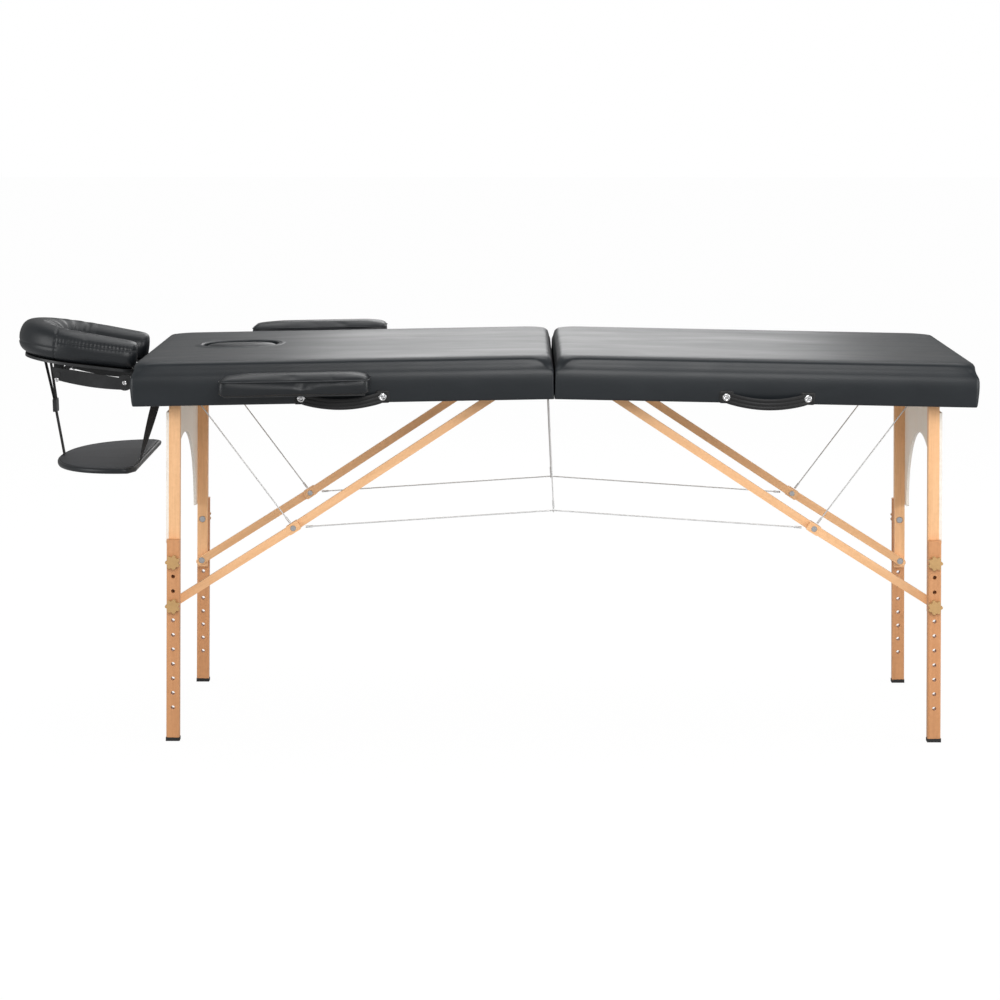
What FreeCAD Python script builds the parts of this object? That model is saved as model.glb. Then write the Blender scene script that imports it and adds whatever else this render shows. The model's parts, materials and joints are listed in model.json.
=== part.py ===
import FreeCAD, Part
import math
import os

from FreeCAD import Vector

# Portable massage table, set up at its highest setting.
# Each half is designed flat, with x outwards from the hinge line at the centre,
# y across the bed and z up from the hinge line. The foot half lies at +X. The head
# half is the same half mirrored, with the cradle, arm shelf and armrests added.

# Bed
bed_length = 1830.0
bed_width = 711.0
hinge_height = 767.0
camber_angle = 1.1
centre_gap = 2.0
soft_clearance = 0.3

# Rail frame and deck of each half
rail_height = 56.0
rail_thickness = 18.0
rail_inset = 2.0
rail_lift = 1.5
rail_edge_relief = 5.0
deck_thickness = 5.0

# Cushions
cushion_side = 24.0
cushion_edge = 16.0
cushion_rise = 8.0
cushion_crown = 5.0
cushion_draw_in = 3.0
cushion_corner = 45.0
face_hole_setback = 208.0
face_hole_length = 172.0
face_hole_width = 150.0
face_hole_ledge = 9.0
plug_crown = 10.0
plug_clearance = 0.6

# Centre hinges
hinge_count = 3
hinge_spacing = 195.0
hinge_width = 66.0
hinge_leaf_length = 38.0
hinge_leaf_thickness = 1.5
hinge_knuckle_radius = 3.5
hinge_pin_radius = 1.8
hinge_pin_clearance = 0.05
knuckle_gap = 0.4

# Legs, in their local upright position
leg_setback = 87.0
leg_pivot_rise = 23.5
leg_splay = 2.2
upper_leg_width = 24.0
upper_leg_depth = 22.0
upper_leg_inner = 274.0
upper_leg_tail = 17.0
lower_leg_width = 29.0
lower_leg_depth = 20.0
lower_leg_head = 48.5
lower_leg_tail = 76.0
lower_leg_corner = 4.0
slide_clearance = 0.2
foot_height = 8.0
foot_overhang = 0.8
hole_pitch = 32.7
hole_count = 11
knob_hole_step = 3
hole_radius = 4.3
bolt_radius = 3.9
bolt_head_radius = 7.0
bolt_head_thickness = 3.0
bolt_head_sink = 0.3
bolt_head_clearance = 1.0
pivot_clearance = 0.05

# Arched end board on the outer faces of each pair of legs
apron_thickness = 6.0
apron_drop = 21.5
apron_height = 290.0
apron_crest = 82.0
apron_foot_width = 52.0

# Knobs
knob_lobes = 7
knob_radius = 16.5
knob_thickness = 13.0
knob_lobe_radius = 4.6
knob_bore_depth = 9.0
knob_flange_radius = 9.0
knob_flange_thickness = 2.0
knob_seat_gap = 0.3
knob_edge = 1.5

# Struts
strut_height = 18.0
strut_lap_height = 21.0
strut_thickness = 12.0
strut_gap = 0.5
strut_tail = 14.0
strut_lap_length = 15.5
strut_sag = 4.0
strut_anchor = 92.0
knee_bolt_radius = 3.5
knee_head_radius = 6.0
knee_head_thickness = 3.0
knee_recess_depth = 3.2
knee_recess_clearance = 0.4

# Steel cables
cable_radius = 1.4
cable_sleeve_radius = 2.4
cable_sleeve_length = 16.0
cable_end_gap = 0.3
stay_anchor = 797.0
stay_anchor_rise = 24.0
hanger_bottom = 510.0
hanger_ring_radius = 4.6

# Brackets
bracket_plate = 3.0
bracket_ear_radius = 13.0
bracket_flange = 16.0
bracket_play = 0.5
pivot_pin_radius = 4.0

# Carry handles
handle_centre = 459.0
handle_span = 176.0
handle_height = 24.0
handle_thickness = 3.0
handle_bulge = 20.0
handle_rise = 13.5
handle_patch = 44.0
rivet_radius = 6.0
rivet_height = 2.0

# Side armrests
armrest_centre = 556.0
armrest_length = 323.0
armrest_width = 88.0
armrest_thickness = 46.0
armrest_crown = 5.0
armrest_draw_in = 3.0
armrest_gap = 6.0
armrest_near_level = 26.0
armrest_far_level = 66.0
armrest_board_thickness = 12.0
armrest_board_inset = 10.0
armrest_peg_spacing = 200.0
armrest_peg_radius = 5.5
armrest_peg_depth = 20.0
armrest_post_width = 26.0
peg_clearance = 0.1

# Face cradle
cradle_standoff = 11.0
cradle_rail_width = 22.0
cradle_rail_low = 18.0
cradle_rail_height = 20.0
cradle_half_width = 112.0
cradle_peg_radius = 8.0
cradle_peg_spacing = 150.0
cradle_peg_depth = 62.0
cradle_side_plate = 5.0
cradle_pivot_reach = 45.0
cradle_pivot_rise = 28.0
cradle_disc_radius = 18.0
cradle_arm_thickness = 6.0
cradle_arm_gap = 0.5
cradle_arm_height = 30.0
cradle_arm_reach = 150.0
cradle_arm_climb = 22.0
cradle_rod_radius = 6.0
cradle_pivot_bolt_radius = 4.0
platform_thickness = 6.0
platform_inset = 12.0
platform_lug_spacing = 200.0
platform_lug_thickness = 8.0
platform_lug_radius = 11.0
pad_tilt = 7.5
pad_start = 11.0
pad_start_rise = 55.0
pad_length = 288.0
pad_width = 296.0
pad_thickness = 62.0
pad_opening_width = 132.0
pad_opening_depth = 190.0
pad_draw_in = 6.0
pad_top_inset = 20.0
pad_edge_height = 18.0
lever_length = 118.0
lever_width = 14.0
lever_thickness = 7.0
lever_pivot_inset = 24.0
lever_pin_radius = 3.0
lever_lift = 0.5

# Arm shelf and its straps
shelf_half_length = 250.0
shelf_depth = 203.0
shelf_thickness = 16.0
shelf_start = 14.0
shelf_drop = 149.0
shelf_edge = 3.0
strap_thickness = 2.0
strap_width = 25.0
rear_strap_width = 20.0
rear_strap_offset = -92.0
rear_strap_setback = 26.0
front_strap_reach = 237.0
front_strap_spread = 13.0
buckle_drop = 112.0
buckle_height = 30.0
buckle_width = 34.0
buckle_thickness = 9.0

# Derived positions, shared by every piece that meets there
half_length = bed_length / 2.0
half_start = centre_gap / 2.0
side_face = bed_width / 2.0 - rail_inset
end_face = half_length - rail_inset
rail_inner = side_face - rail_thickness
rail_top = rail_lift + rail_height
deck_top = rail_top + deck_thickness
cushion_base = deck_top + soft_clearance
cushion_top = cushion_base + cushion_side + cushion_rise + cushion_crown
leg_x = half_length - leg_setback
leg_outer = upper_leg_inner + upper_leg_depth
lower_leg_inner = leg_outer + slide_clearance
lower_leg_outer = lower_leg_inner + lower_leg_depth
camber = math.radians(camber_angle)
splay = math.radians(leg_splay)
pivot_height = hinge_height - leg_x * math.sin(camber) + leg_pivot_rise * math.cos(camber)
floor_level = leg_pivot_rise - pivot_height / math.cos(splay - camber)
lowest_hole = floor_level + lower_leg_tail
top_hole = lowest_hole + hole_pitch * (hole_count - 1)
strut_bolt_level = top_hole - hole_pitch * knob_hole_step
lower_leg_top = top_hole + lower_leg_head
upper_leg_bottom = strut_bolt_level - upper_leg_tail
leg_swing = leg_pivot_rise - strut_bolt_level
strut_bolt_x = leg_x + leg_swing * math.sin(splay)
strut_bolt_z = leg_pivot_rise - leg_swing * math.cos(splay)
lower_strut_outer = upper_leg_inner - strut_gap
lower_strut_inner = lower_strut_outer - strut_thickness
upper_strut_outer = lower_strut_inner - strut_gap
upper_strut_inner = upper_strut_outer - strut_thickness
cable_plane = lower_strut_inner - strut_gap / 2.0
face_hole_x = half_length - face_hole_setback
armrest_inner = bed_width / 2.0 + armrest_gap
armrest_peg_level = armrest_near_level + armrest_board_thickness / 2.0
cradle_rail_x = half_length + cradle_standoff
cradle_pivot_x = half_length + cradle_pivot_reach
cradle_rod_x = cradle_pivot_x + cradle_arm_reach
cradle_rod_z = cradle_pivot_rise + cradle_arm_climb
cradle_arm_inner = cradle_half_width + cradle_side_plate + cradle_arm_gap
cradle_rail_top = cradle_rail_low + cradle_rail_height


def knee_geometry():
    """Bar lengths and rest place of the mid joint of a strut pair that folds into the frame.

    Folded, the leg lies along the frame with its strut bolt at folded_gap from the strut
    anchor, and the mid joint lies beyond the bolt, so the bars differ in length by that gap.
    """
    run = strut_bolt_x - strut_anchor
    rise = leg_pivot_rise - strut_bolt_z
    span = math.hypot(run, rise)
    folded_gap = leg_x - leg_swing - strut_anchor
    short = (span - folded_gap) / 2.0
    long = (span + folded_gap) / 2.0
    slack = strut_sag ** 2 * (1.0 / short + 1.0 / long) / 2.0
    lower = (span + slack - folded_gap) / 2.0
    upper = (span + slack + folded_gap) / 2.0
    slope = math.atan2(rise, run)
    knee_turn = math.acos((lower ** 2 + span ** 2 - upper ** 2) / (2.0 * lower * span))
    angle = slope - knee_turn
    middle_x = strut_bolt_x - lower * math.cos(angle)
    middle_z = strut_bolt_z + lower * math.sin(angle)
    return lower, upper, middle_x, middle_z


lower_strut_length, upper_strut_length, knee_x, knee_z = knee_geometry()
lower_strut_slope = math.degrees(math.atan2(knee_z - strut_bolt_z, strut_bolt_x - knee_x))
upper_strut_slope = math.degrees(math.atan2(leg_pivot_rise - knee_z, knee_x - strut_anchor))


def box(x0, x1, y0, y1, z0, z1):
    """Box between two corners."""
    corner = Vector(x0, y0, z0)
    return Part.makeBox(x1 - x0, y1 - y0, z1 - z0, corner)


def rod_y(x, z, y0, y1, radius):
    """Round bar across the bed."""
    return Part.makeCylinder(radius, y1 - y0, Vector(x, y0, z), Vector(0, 1, 0))


def rod_between(start, end, radius):
    """Round bar between two points."""
    direction = end.sub(start)
    return Part.makeCylinder(radius, direction.Length, start, direction)


def mirrored_y(shape):
    """The same piece on the other side of the bed."""
    return shape.mirror(Vector(0, 0, 0), Vector(0, 1, 0))


def both_sides(shape):
    """A piece and its twin across the bed."""
    return [shape, mirrored_y(shape)]


def to_foot(shape):
    """Tilt a flat half by the camber and lift it to the hinge height."""
    placed = shape.copy()
    placed.rotate(Vector(0, 0, 0), Vector(0, 1, 0), camber_angle)
    placed.translate(Vector(0, 0, hinge_height))
    return placed


def to_head(shape):
    """The foot half's position, mirrored to the head end."""
    return to_foot(shape).mirror(Vector(0, 0, 0), Vector(1, 0, 0))


def prism_y(points, y0, y1):
    """Straight-sided outline in x and z, extruded across the bed."""
    corners = [Vector(x, y0, z) for x, z in points]
    wire = Part.makePolygon(corners + [corners[0]])
    return Part.Face(wire).extrude(Vector(0, y1 - y0, 0))


def arc_edge(start, middle, end):
    """Arc through three points."""
    return Part.Arc(start, middle, end).toShape()


def line_edge(start, end):
    """Straight edge."""
    return Part.LineSegment(start, end).toShape()


def frame_rails(has_armrest_sockets, has_cradle_sockets):
    """Side, end and centre rails under the deck."""
    side = box(half_start, end_face, rail_inner, side_face, rail_lift, rail_top)
    if has_armrest_sockets:
        for offset in (-armrest_peg_spacing / 2.0, armrest_peg_spacing / 2.0):
            radius = armrest_peg_radius + peg_clearance
            x = armrest_centre + offset
            hole = rod_y(x, armrest_peg_level, rail_inner - 1.0, side_face + 1.0, radius)
            side = side.cut(hole)
    end = box(end_face - rail_thickness, end_face, -rail_inner, rail_inner, rail_lift, rail_top)
    if has_cradle_sockets:
        for offset in (-cradle_peg_spacing / 2.0, cradle_peg_spacing / 2.0):
            start = Vector(end_face - rail_thickness - 1.0, offset, cradle_pivot_rise)
            stop = Vector(end_face + 1.0, offset, cradle_pivot_rise)
            hole = rod_between(start, stop, cradle_peg_radius + peg_clearance)
            end = end.cut(hole)
    inner_end = half_start + rail_thickness
    centre_outline = [
        (half_start + rail_edge_relief, rail_lift),
        (inner_end, rail_lift),
        (inner_end, rail_top),
        (half_start, rail_top),
        (half_start, rail_lift + rail_edge_relief),
    ]
    centre = prism_y(centre_outline, -rail_inner, rail_inner)
    relief_outline = [
        (half_start - 1.0, rail_lift - 1.0),
        (half_start + rail_edge_relief, rail_lift),
        (half_start, rail_lift + rail_edge_relief),
    ]
    side = side.cut(prism_y(relief_outline, rail_inner - 1.0, side_face + 1.0))
    return Part.makeCompound(both_sides(side) + [end, centre])


def oval_prism(centre_x, length, width, z0, z1):
    """Upright prism with a long rounded outline, blunt at its two ends."""
    half_x = length / 2.0
    half_y = width / 2.0
    shoulder_x = half_x * 0.72
    shoulder_y = half_y * 0.72
    points = [
        Vector(centre_x + half_x, 0, z0),
        Vector(centre_x + shoulder_x, shoulder_y, z0),
        Vector(centre_x, half_y, z0),
        Vector(centre_x - shoulder_x, shoulder_y, z0),
        Vector(centre_x - half_x, 0, z0),
        Vector(centre_x - shoulder_x, -shoulder_y, z0),
        Vector(centre_x, -half_y, z0),
        Vector(centre_x + shoulder_x, -shoulder_y, z0),
    ]
    edges = []
    for index in range(0, 8, 2):
        edges.append(arc_edge(points[index], points[index + 1], points[(index + 2) % 8]))
    face = Part.Face(Part.Wire(edges))
    return face.extrude(Vector(0, 0, z1 - z0))


def deck_board(has_face_hole):
    """Thin board on the rails; at the head its hole leaves a ledge for the plug."""
    board = box(half_start, end_face, -side_face, side_face, rail_top, deck_top)
    if has_face_hole:
        length = face_hole_length - 2.0 * face_hole_ledge
        width = face_hole_width - 2.0 * face_hole_ledge
        board = board.cut(oval_prism(face_hole_x, length, width, rail_top - 1.0, deck_top + 1.0))
    return board


def pad_profile(low, high, base, side, edge, rise, crown, draw_in, place):
    """Closed cushion section: bulged sides, rounded shoulders and a crowned top."""
    middle = (low + high) / 2.0
    shoulder = base + side
    top = shoulder + rise
    outline = [
        place(low + draw_in, base),
        place(low, base + side * 0.45),
        place(low + draw_in * 0.6, shoulder),
        place(low + edge * 0.35, shoulder + rise * 0.72),
        place(low + edge, top),
        place(middle, top + crown),
        place(high - edge, top),
        place(high - edge * 0.35, shoulder + rise * 0.72),
        place(high - draw_in * 0.6, shoulder),
        place(high, base + side * 0.45),
        place(high - draw_in, base),
    ]
    edges = [
        arc_edge(outline[0], outline[1], outline[2]),
        arc_edge(outline[2], outline[3], outline[4]),
        arc_edge(outline[4], outline[5], outline[6]),
        arc_edge(outline[6], outline[7], outline[8]),
        arc_edge(outline[8], outline[9], outline[10]),
        line_edge(outline[10], outline[0]),
    ]
    return Part.Face(Part.Wire(edges))


def cushion_body(x0, x1, y0, y1, base, side, edge, rise, crown, draw_in):
    """Cushion crowned both ways: the common volume of two crowned sections."""
    across = pad_profile(y0, y1, base, side, edge, rise, crown, draw_in,
                         lambda s, z: Vector(x0, s, z))
    along = pad_profile(x0, x1, base, side, edge, rise, crown, draw_in,
                        lambda s, z: Vector(s, y0, z))
    lengthwise = across.extrude(Vector(x1 - x0, 0, 0))
    crosswise = along.extrude(Vector(0, y1 - y0, 0))
    return lengthwise.common(crosswise)


def cushion(has_face_hole):
    """Upholstered top of one half, with rounded outer corners."""
    half_width = bed_width / 2.0
    body = cushion_body(half_start, half_length, -half_width, half_width, cushion_base,
                        cushion_side, cushion_edge, cushion_rise, cushion_crown, cushion_draw_in)
    top = cushion_top + 5.0
    blank = box(half_start - 1.0, half_length, -half_width, half_width, cushion_base - 1.0, top)
    corners = []
    for edge in blank.Edges:
        upright = abs(edge.Vertexes[0].Z - edge.Vertexes[1].Z) > 1.0
        if upright and edge.Vertexes[0].X > half_length - 1.0:
            corners.append(edge)
    body = body.common(blank.makeFillet(cushion_corner, corners))
    if has_face_hole:
        hole = oval_prism(face_hole_x, face_hole_length, face_hole_width, cushion_base - 1.0, top)
        body = body.cut(hole)
    return body


def face_plug():
    """Padded plug of the face hole, seated on the deck's ledge, crowned on top."""
    length = face_hole_length - 2.0 * plug_clearance
    width = face_hole_width - 2.0 * plug_clearance
    prism = oval_prism(face_hole_x, length, width, cushion_base, cushion_top + plug_crown)
    low_x = face_hole_x - length / 2.0
    high_x = face_hole_x + length / 2.0
    spare = 1.0
    crowned = cushion_body(low_x - spare, high_x + spare, -width / 2.0 - spare,
                           width / 2.0 + spare, cushion_base, cushion_side, cushion_edge,
                           cushion_rise, plug_crown, spare)
    return prism.common(crowned)


def hinge_positions():
    """Middle of each centre hinge across the bed."""
    first = -(hinge_count - 1) / 2.0
    return [(first + index) * hinge_spacing for index in range(hinge_count)]


def hinge_leaf(middle, knuckles):
    """One leaf with its knuckles, bored for the pin."""
    half = hinge_width / 2.0
    pitch = hinge_width / 5.0
    leaf = box(half_start + rail_edge_relief, hinge_leaf_length, middle - half, middle + half,
               rail_lift - hinge_leaf_thickness, rail_lift)
    pieces = []
    for index in knuckles:
        y0 = middle - half + index * pitch + knuckle_gap / 2.0
        y1 = y0 + pitch - knuckle_gap
        tongue = box(0, half_start + rail_edge_relief + 1.0, y0, y1,
                     rail_lift - hinge_leaf_thickness, rail_lift)
        pieces.append(tongue)
        pieces.append(rod_y(0, 0, y0, y1, hinge_knuckle_radius))
    body = leaf.multiFuse(pieces).removeSplitter()
    bore = rod_y(0, 0, middle - half - 1.0, middle + half + 1.0,
                 hinge_pin_radius + hinge_pin_clearance)
    return body.cut(bore)


def hinge_leaves(knuckles):
    """All leaves of one half."""
    return [hinge_leaf(middle, knuckles) for middle in hinge_positions()]


def hinge_pins():
    """A pin through each centre hinge."""
    half = hinge_width / 2.0
    pins = []
    for middle in hinge_positions():
        pins.append(rod_y(0, 0, middle - half, middle + half, hinge_pin_radius))
    return pins


def clevis(x, z, inner, outer):
    """Two ears under a flange that is screwed to the deck, with the pivot pin."""
    pieces = []
    for y0 in (inner - bracket_play - bracket_plate, outer + bracket_play):
        ear = rod_y(x, z, y0, y0 + bracket_plate, bracket_ear_radius)
        web = box(x - bracket_ear_radius, x + bracket_ear_radius, y0, y0 + bracket_plate,
                  z, rail_top)
        pieces.append(ear.fuse(web))
    flange = box(x - bracket_flange, x + bracket_flange,
                 inner - bracket_play - bracket_plate, outer + bracket_play + bracket_plate,
                 rail_top - bracket_plate, rail_top)
    pin = rod_y(x, z, inner - bracket_play - bracket_plate - 1.5,
                outer + bracket_play + bracket_plate + 1.5, pivot_pin_radius)
    return pieces[0].multiFuse([pieces[1], flange, pin]).removeSplitter()


def stay_eye():
    """Plate and ring under the deck that hold the top of a stay cable."""
    plate = box(stay_anchor - 8.0, stay_anchor + 8.0, cable_plane - 8.0, cable_plane + 8.0,
                rail_top - bracket_plate, rail_top)
    stem_top = rail_top - bracket_plate + 0.5
    stem = rod_between(Vector(stay_anchor, cable_plane, stay_anchor_rise + 2.0),
                       Vector(stay_anchor, cable_plane, stem_top), 3.0)
    knob = Part.makeSphere(4.0, Vector(stay_anchor, cable_plane, stay_anchor_rise + 2.0))
    return plate.multiFuse([stem, knob])


def brackets():
    """Leg clevises, strut clevises and cable eyes of one half."""
    leg = clevis(leg_x, leg_pivot_rise, upper_leg_inner, leg_outer)
    strut = clevis(strut_anchor, leg_pivot_rise, upper_strut_inner, upper_strut_outer)
    pieces = []
    for piece in (leg, strut, stay_eye()):
        pieces.extend(both_sides(piece))
    return Part.makeCompound(pieces)


def splayed(shape):
    """Swing a piece of the upright leg frame out to its splayed stand."""
    placed = shape.copy()
    placed.rotate(Vector(leg_x, 0, leg_pivot_rise), Vector(0, 1, 0), -leg_splay)
    return placed


def knob_levels():
    """Heights of the two bolts that hold each lower leg."""
    return [top_hole, strut_bolt_level]


def upper_leg():
    """Upper leg with a rounded top, bored for its pivot pin and two bolts."""
    half = upper_leg_width / 2.0
    shaft = box(leg_x - half, leg_x + half, upper_leg_inner, leg_outer,
                upper_leg_bottom, leg_pivot_rise)
    head = rod_y(leg_x, leg_pivot_rise, upper_leg_inner, leg_outer, half)
    leg = shaft.fuse(head).removeSplitter()
    pivot = rod_y(leg_x, leg_pivot_rise, upper_leg_inner - 1.0, leg_outer + 1.0,
                  pivot_pin_radius + pivot_clearance)
    leg = leg.cut(pivot)
    for level in knob_levels():
        leg = leg.cut(rod_y(leg_x, level, upper_leg_inner - 1.0, leg_outer + 1.0, bolt_radius))
    sink = rod_y(leg_x, top_hole, upper_leg_inner - 1.0,
                 upper_leg_inner + bolt_head_sink + bolt_head_thickness,
                 bolt_head_radius + bolt_head_clearance)
    return leg.cut(sink)


def upper_legs():
    """The two upper legs of one frame."""
    return Part.makeCompound(both_sides(upper_leg()))


def apron():
    """Board on the outer faces of the legs, arched between them."""
    x0 = leg_x + upper_leg_width / 2.0
    x1 = x0 + apron_thickness
    top = -apron_drop + rail_lift
    bottom = top - apron_height
    board = box(x0, x1, -leg_outer, leg_outer, bottom, top)
    half_opening = leg_outer - apron_foot_width
    rise = apron_height - apron_crest
    centre = Vector(x0 - 1.0, 0, bottom)
    ellipse = Part.Ellipse(centre, half_opening, rise)
    ellipse.transform(plane_turn(centre))
    opening = Part.Face(Part.Wire([ellipse.toShape()]))
    return board.cut(opening.extrude(Vector(apron_thickness + 2.0, 0, 0)))


def plane_turn(centre):
    """Turn a curve from the x-y plane into the y-z plane about its centre."""
    placement = FreeCAD.Placement(
        Vector(0, 0, 0), FreeCAD.Rotation(Vector(1, 1, 1), 120.0), centre)
    return placement.toMatrix()


def leg_bolts():
    """Fixed bolts: heads inside, shanks through both leg parts into the knobs."""
    pieces = []
    end = lower_leg_outer + knob_seat_gap + knob_bore_depth - 0.5
    sunk_face = upper_leg_inner + bolt_head_sink
    upper = rod_y(leg_x, top_hole, sunk_face, end, bolt_radius)
    head = rod_y(leg_x, top_hole, sunk_face, sunk_face + bolt_head_thickness,
                 bolt_head_radius)
    pieces.extend(both_sides(head.fuse(upper)))
    head_face = lower_strut_inner + strut_gap
    lower = rod_y(leg_x, strut_bolt_level, head_face, end, bolt_radius)
    head = rod_y(leg_x, strut_bolt_level, head_face, head_face + bolt_head_thickness,
                 bolt_head_radius)
    pieces.extend(both_sides(head.fuse(lower)))
    return Part.makeCompound(pieces)


def lower_leg():
    """Sliding leg with its row of setting holes."""
    half = lower_leg_width / 2.0
    bottom = floor_level + foot_height
    shaft = box(leg_x - half, leg_x + half, lower_leg_inner, lower_leg_outer,
                bottom, lower_leg_top)
    long_edges = []
    for edge in shaft.Edges:
        upright = abs(edge.Vertexes[0].Z - edge.Vertexes[1].Z) > lower_leg_width * 2.0
        if upright and edge.Vertexes[0].Y > lower_leg_outer - 1.0:
            long_edges.append(edge)
    leg = shaft.makeFillet(lower_leg_corner, long_edges)
    for index in range(hole_count):
        level = lowest_hole + index * hole_pitch
        hole = rod_y(leg_x, level, lower_leg_inner - 1.0, lower_leg_outer + 1.0, hole_radius)
        leg = leg.cut(hole)
    return leg


def foot():
    """Rubber cap under the lower leg, cut flat where it meets the floor."""
    half = lower_leg_width / 2.0 + foot_overhang
    bottom = floor_level - 4.0
    top = floor_level + foot_height
    return box(leg_x - half, leg_x + half, lower_leg_inner - foot_overhang,
               lower_leg_outer + foot_overhang, bottom, top)


def cut_at_floor(shape):
    """Keep what stands above the floor."""
    bounds = shape.BoundBox
    margin = 10.0
    above = box(bounds.XMin - margin, bounds.XMax + margin, bounds.YMin - margin,
                bounds.YMax + margin, 0.0, bounds.ZMax + margin)
    return shape.common(above)


def knob(level):
    """Lobed hand knob on a flange, with a blind bore for the bolt."""
    seat = lower_leg_outer + knob_seat_gap
    flange = rod_y(leg_x, level, seat, seat + knob_flange_thickness, knob_flange_radius)
    y0 = seat + knob_flange_thickness
    valley = knob_radius - knob_lobe_radius * 0.9
    step = 2.0 * math.pi / knob_lobes
    edges = []
    for index in range(knob_lobes):
        points = []
        for part, radius in ((-0.28, valley + 1.2), (0.0, knob_radius), (0.28, valley + 1.2),
                             (0.5, valley), (0.72, valley + 1.2)):
            angle = (index + part) * step
            points.append(Vector(leg_x + radius * math.cos(angle), y0,
                                 level + radius * math.sin(angle)))
        edges.append(arc_edge(points[0], points[1], points[2]))
        edges.append(arc_edge(points[2], points[3], points[4]))
    outline = Part.Face(Part.Wire(edges))
    height = knob_thickness - knob_flange_thickness
    star = outline.extrude(Vector(0, height, 0))
    crown = rod_y(leg_x, level, y0, y0 + height, knob_radius + 1.0)
    rim = [edge for edge in crown.Edges if abs(edge.BoundBox.YMin - y0 - height) < 0.01]
    crown = crown.makeChamfer(knob_edge + 1.0, rim)
    body = star.common(crown).fuse(flange)
    bore = rod_y(leg_x, level, seat - 1.0, seat + knob_bore_depth, bolt_radius + pivot_clearance)
    return body.cut(bore)


def strut_bar(x0, z0, x1, z1, y0, y1, start_tail, lap_length):
    """Flat bar between two pivots with a rounded end and a taller square lap end."""
    length = math.hypot(x1 - x0, z1 - z0)
    half = strut_height / 2.0
    lap = strut_lap_height / 2.0
    bar = box(half - start_tail, length, y0, y1, -half, half)
    tail = rod_y(half - start_tail, 0, y0, y1, half)
    lap_box = box(length - lap_length, length + lap_length, y0, y1, -lap, lap)
    corner_edges = []
    for edge in lap_box.Edges:
        across = abs(edge.Vertexes[0].Y - edge.Vertexes[1].Y) > 1.0
        if across:
            corner_edges.append(edge)
    lap_box = lap_box.makeFillet(4.0, corner_edges)
    bar = bar.multiFuse([tail, lap_box]).removeSplitter()
    turn = math.degrees(math.atan2(z1 - z0, x1 - x0))
    bar.rotate(Vector(0, 0, 0), Vector(0, 1, 0), -turn)
    bar.translate(Vector(x0, 0, z0))
    return bar


def lower_strut():
    """Strut from the lower leg bolt up to the mid joint, on the outer side."""
    bar = strut_bar(strut_bolt_x, strut_bolt_z, knee_x, knee_z, lower_strut_inner,
                    lower_strut_outer, strut_tail, strut_lap_length)
    bolt = rod_y(strut_bolt_x, strut_bolt_z, lower_strut_inner - 1.0, lower_strut_outer + 1.0,
                 bolt_radius + pivot_clearance)
    recess_depth = strut_gap + bolt_head_thickness + 0.3
    recess = rod_y(strut_bolt_x, strut_bolt_z, lower_strut_inner - 1.0,
                   lower_strut_inner + recess_depth, bolt_head_radius + 0.5)
    knee = rod_y(knee_x, knee_z, lower_strut_inner - 1.0, lower_strut_outer + 1.0,
                 knee_bolt_radius)
    knee_recess = rod_y(knee_x, knee_z, lower_strut_outer - knee_recess_depth,
                        lower_strut_outer + 1.0, knee_head_radius + knee_recess_clearance)
    return bar.cut(bolt).cut(recess).cut(knee).cut(knee_recess)


def upper_strut():
    """Strut from its clevis under the deck down to the mid joint, on the inner side."""
    bar = strut_bar(strut_anchor, leg_pivot_rise, knee_x, knee_z, upper_strut_inner,
                    upper_strut_outer, strut_tail, strut_lap_length)
    pin = rod_y(strut_anchor, leg_pivot_rise, upper_strut_inner - 1.0, upper_strut_outer + 1.0,
                pivot_pin_radius + pivot_clearance)
    knee = rod_y(knee_x, knee_z, upper_strut_inner - 1.0, upper_strut_outer + 1.0,
                 knee_bolt_radius)
    return bar.cut(pin).cut(knee)


def knee_head():
    """Bolt half in the lower strut: its sunk head outside, its shank up to the lap face."""
    seat = lower_strut_outer - knee_recess_depth
    shank = rod_y(knee_x, knee_z, lower_strut_inner, seat, knee_bolt_radius)
    head = rod_y(knee_x, knee_z, seat, seat + knee_head_thickness, knee_head_radius)
    return shank.fuse(head).removeSplitter()


def knee_nut():
    """Bolt half in the upper strut: its nut inside, its shank up to the lap face."""
    shank = rod_y(knee_x, knee_z, upper_strut_inner, upper_strut_outer, knee_bolt_radius)
    nut = rod_y(knee_x, knee_z, upper_strut_inner - knee_head_thickness, upper_strut_inner,
                knee_head_radius)
    return shank.fuse(nut).removeSplitter()


def cable_run(start, end, sleeve_start, sleeve_end):
    """Straight steel cable with crimped sleeves at the ends that have one."""
    direction = end.sub(start)
    unit = Vector(direction).normalize()
    cable = rod_between(start, end, cable_radius)
    sleeves = []
    if sleeve_start:
        stop = start.add(Vector(unit).multiply(cable_sleeve_length))
        sleeves.append(rod_between(start, stop, cable_sleeve_radius))
    if sleeve_end:
        stop = end.sub(Vector(unit).multiply(cable_sleeve_length))
        sleeves.append(rod_between(stop, end, cable_sleeve_radius))
    return cable.multiFuse(sleeves).removeSplitter() if sleeves else cable


def stay_cable():
    """Cable from its eye under the deck to the top edge of the mid joint."""
    eye = Vector(stay_anchor, cable_plane, stay_anchor_rise + 2.0)
    knee = Vector(knee_x, cable_plane, knee_z)
    unit = eye.sub(knee).normalize()
    start = knee.add(Vector(unit).multiply(strut_lap_height / 2.0 + cable_end_gap + 1.5))
    end = eye.sub(Vector(unit).multiply(4.0 + cable_end_gap))
    return cable_run(start, end, True, True)


def half_point(x, y, z):
    """World position of a point of the foot half."""
    return Vector(x * math.cos(camber) + z * math.sin(camber), y,
                  hinge_height - x * math.sin(camber) + z * math.cos(camber))


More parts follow.
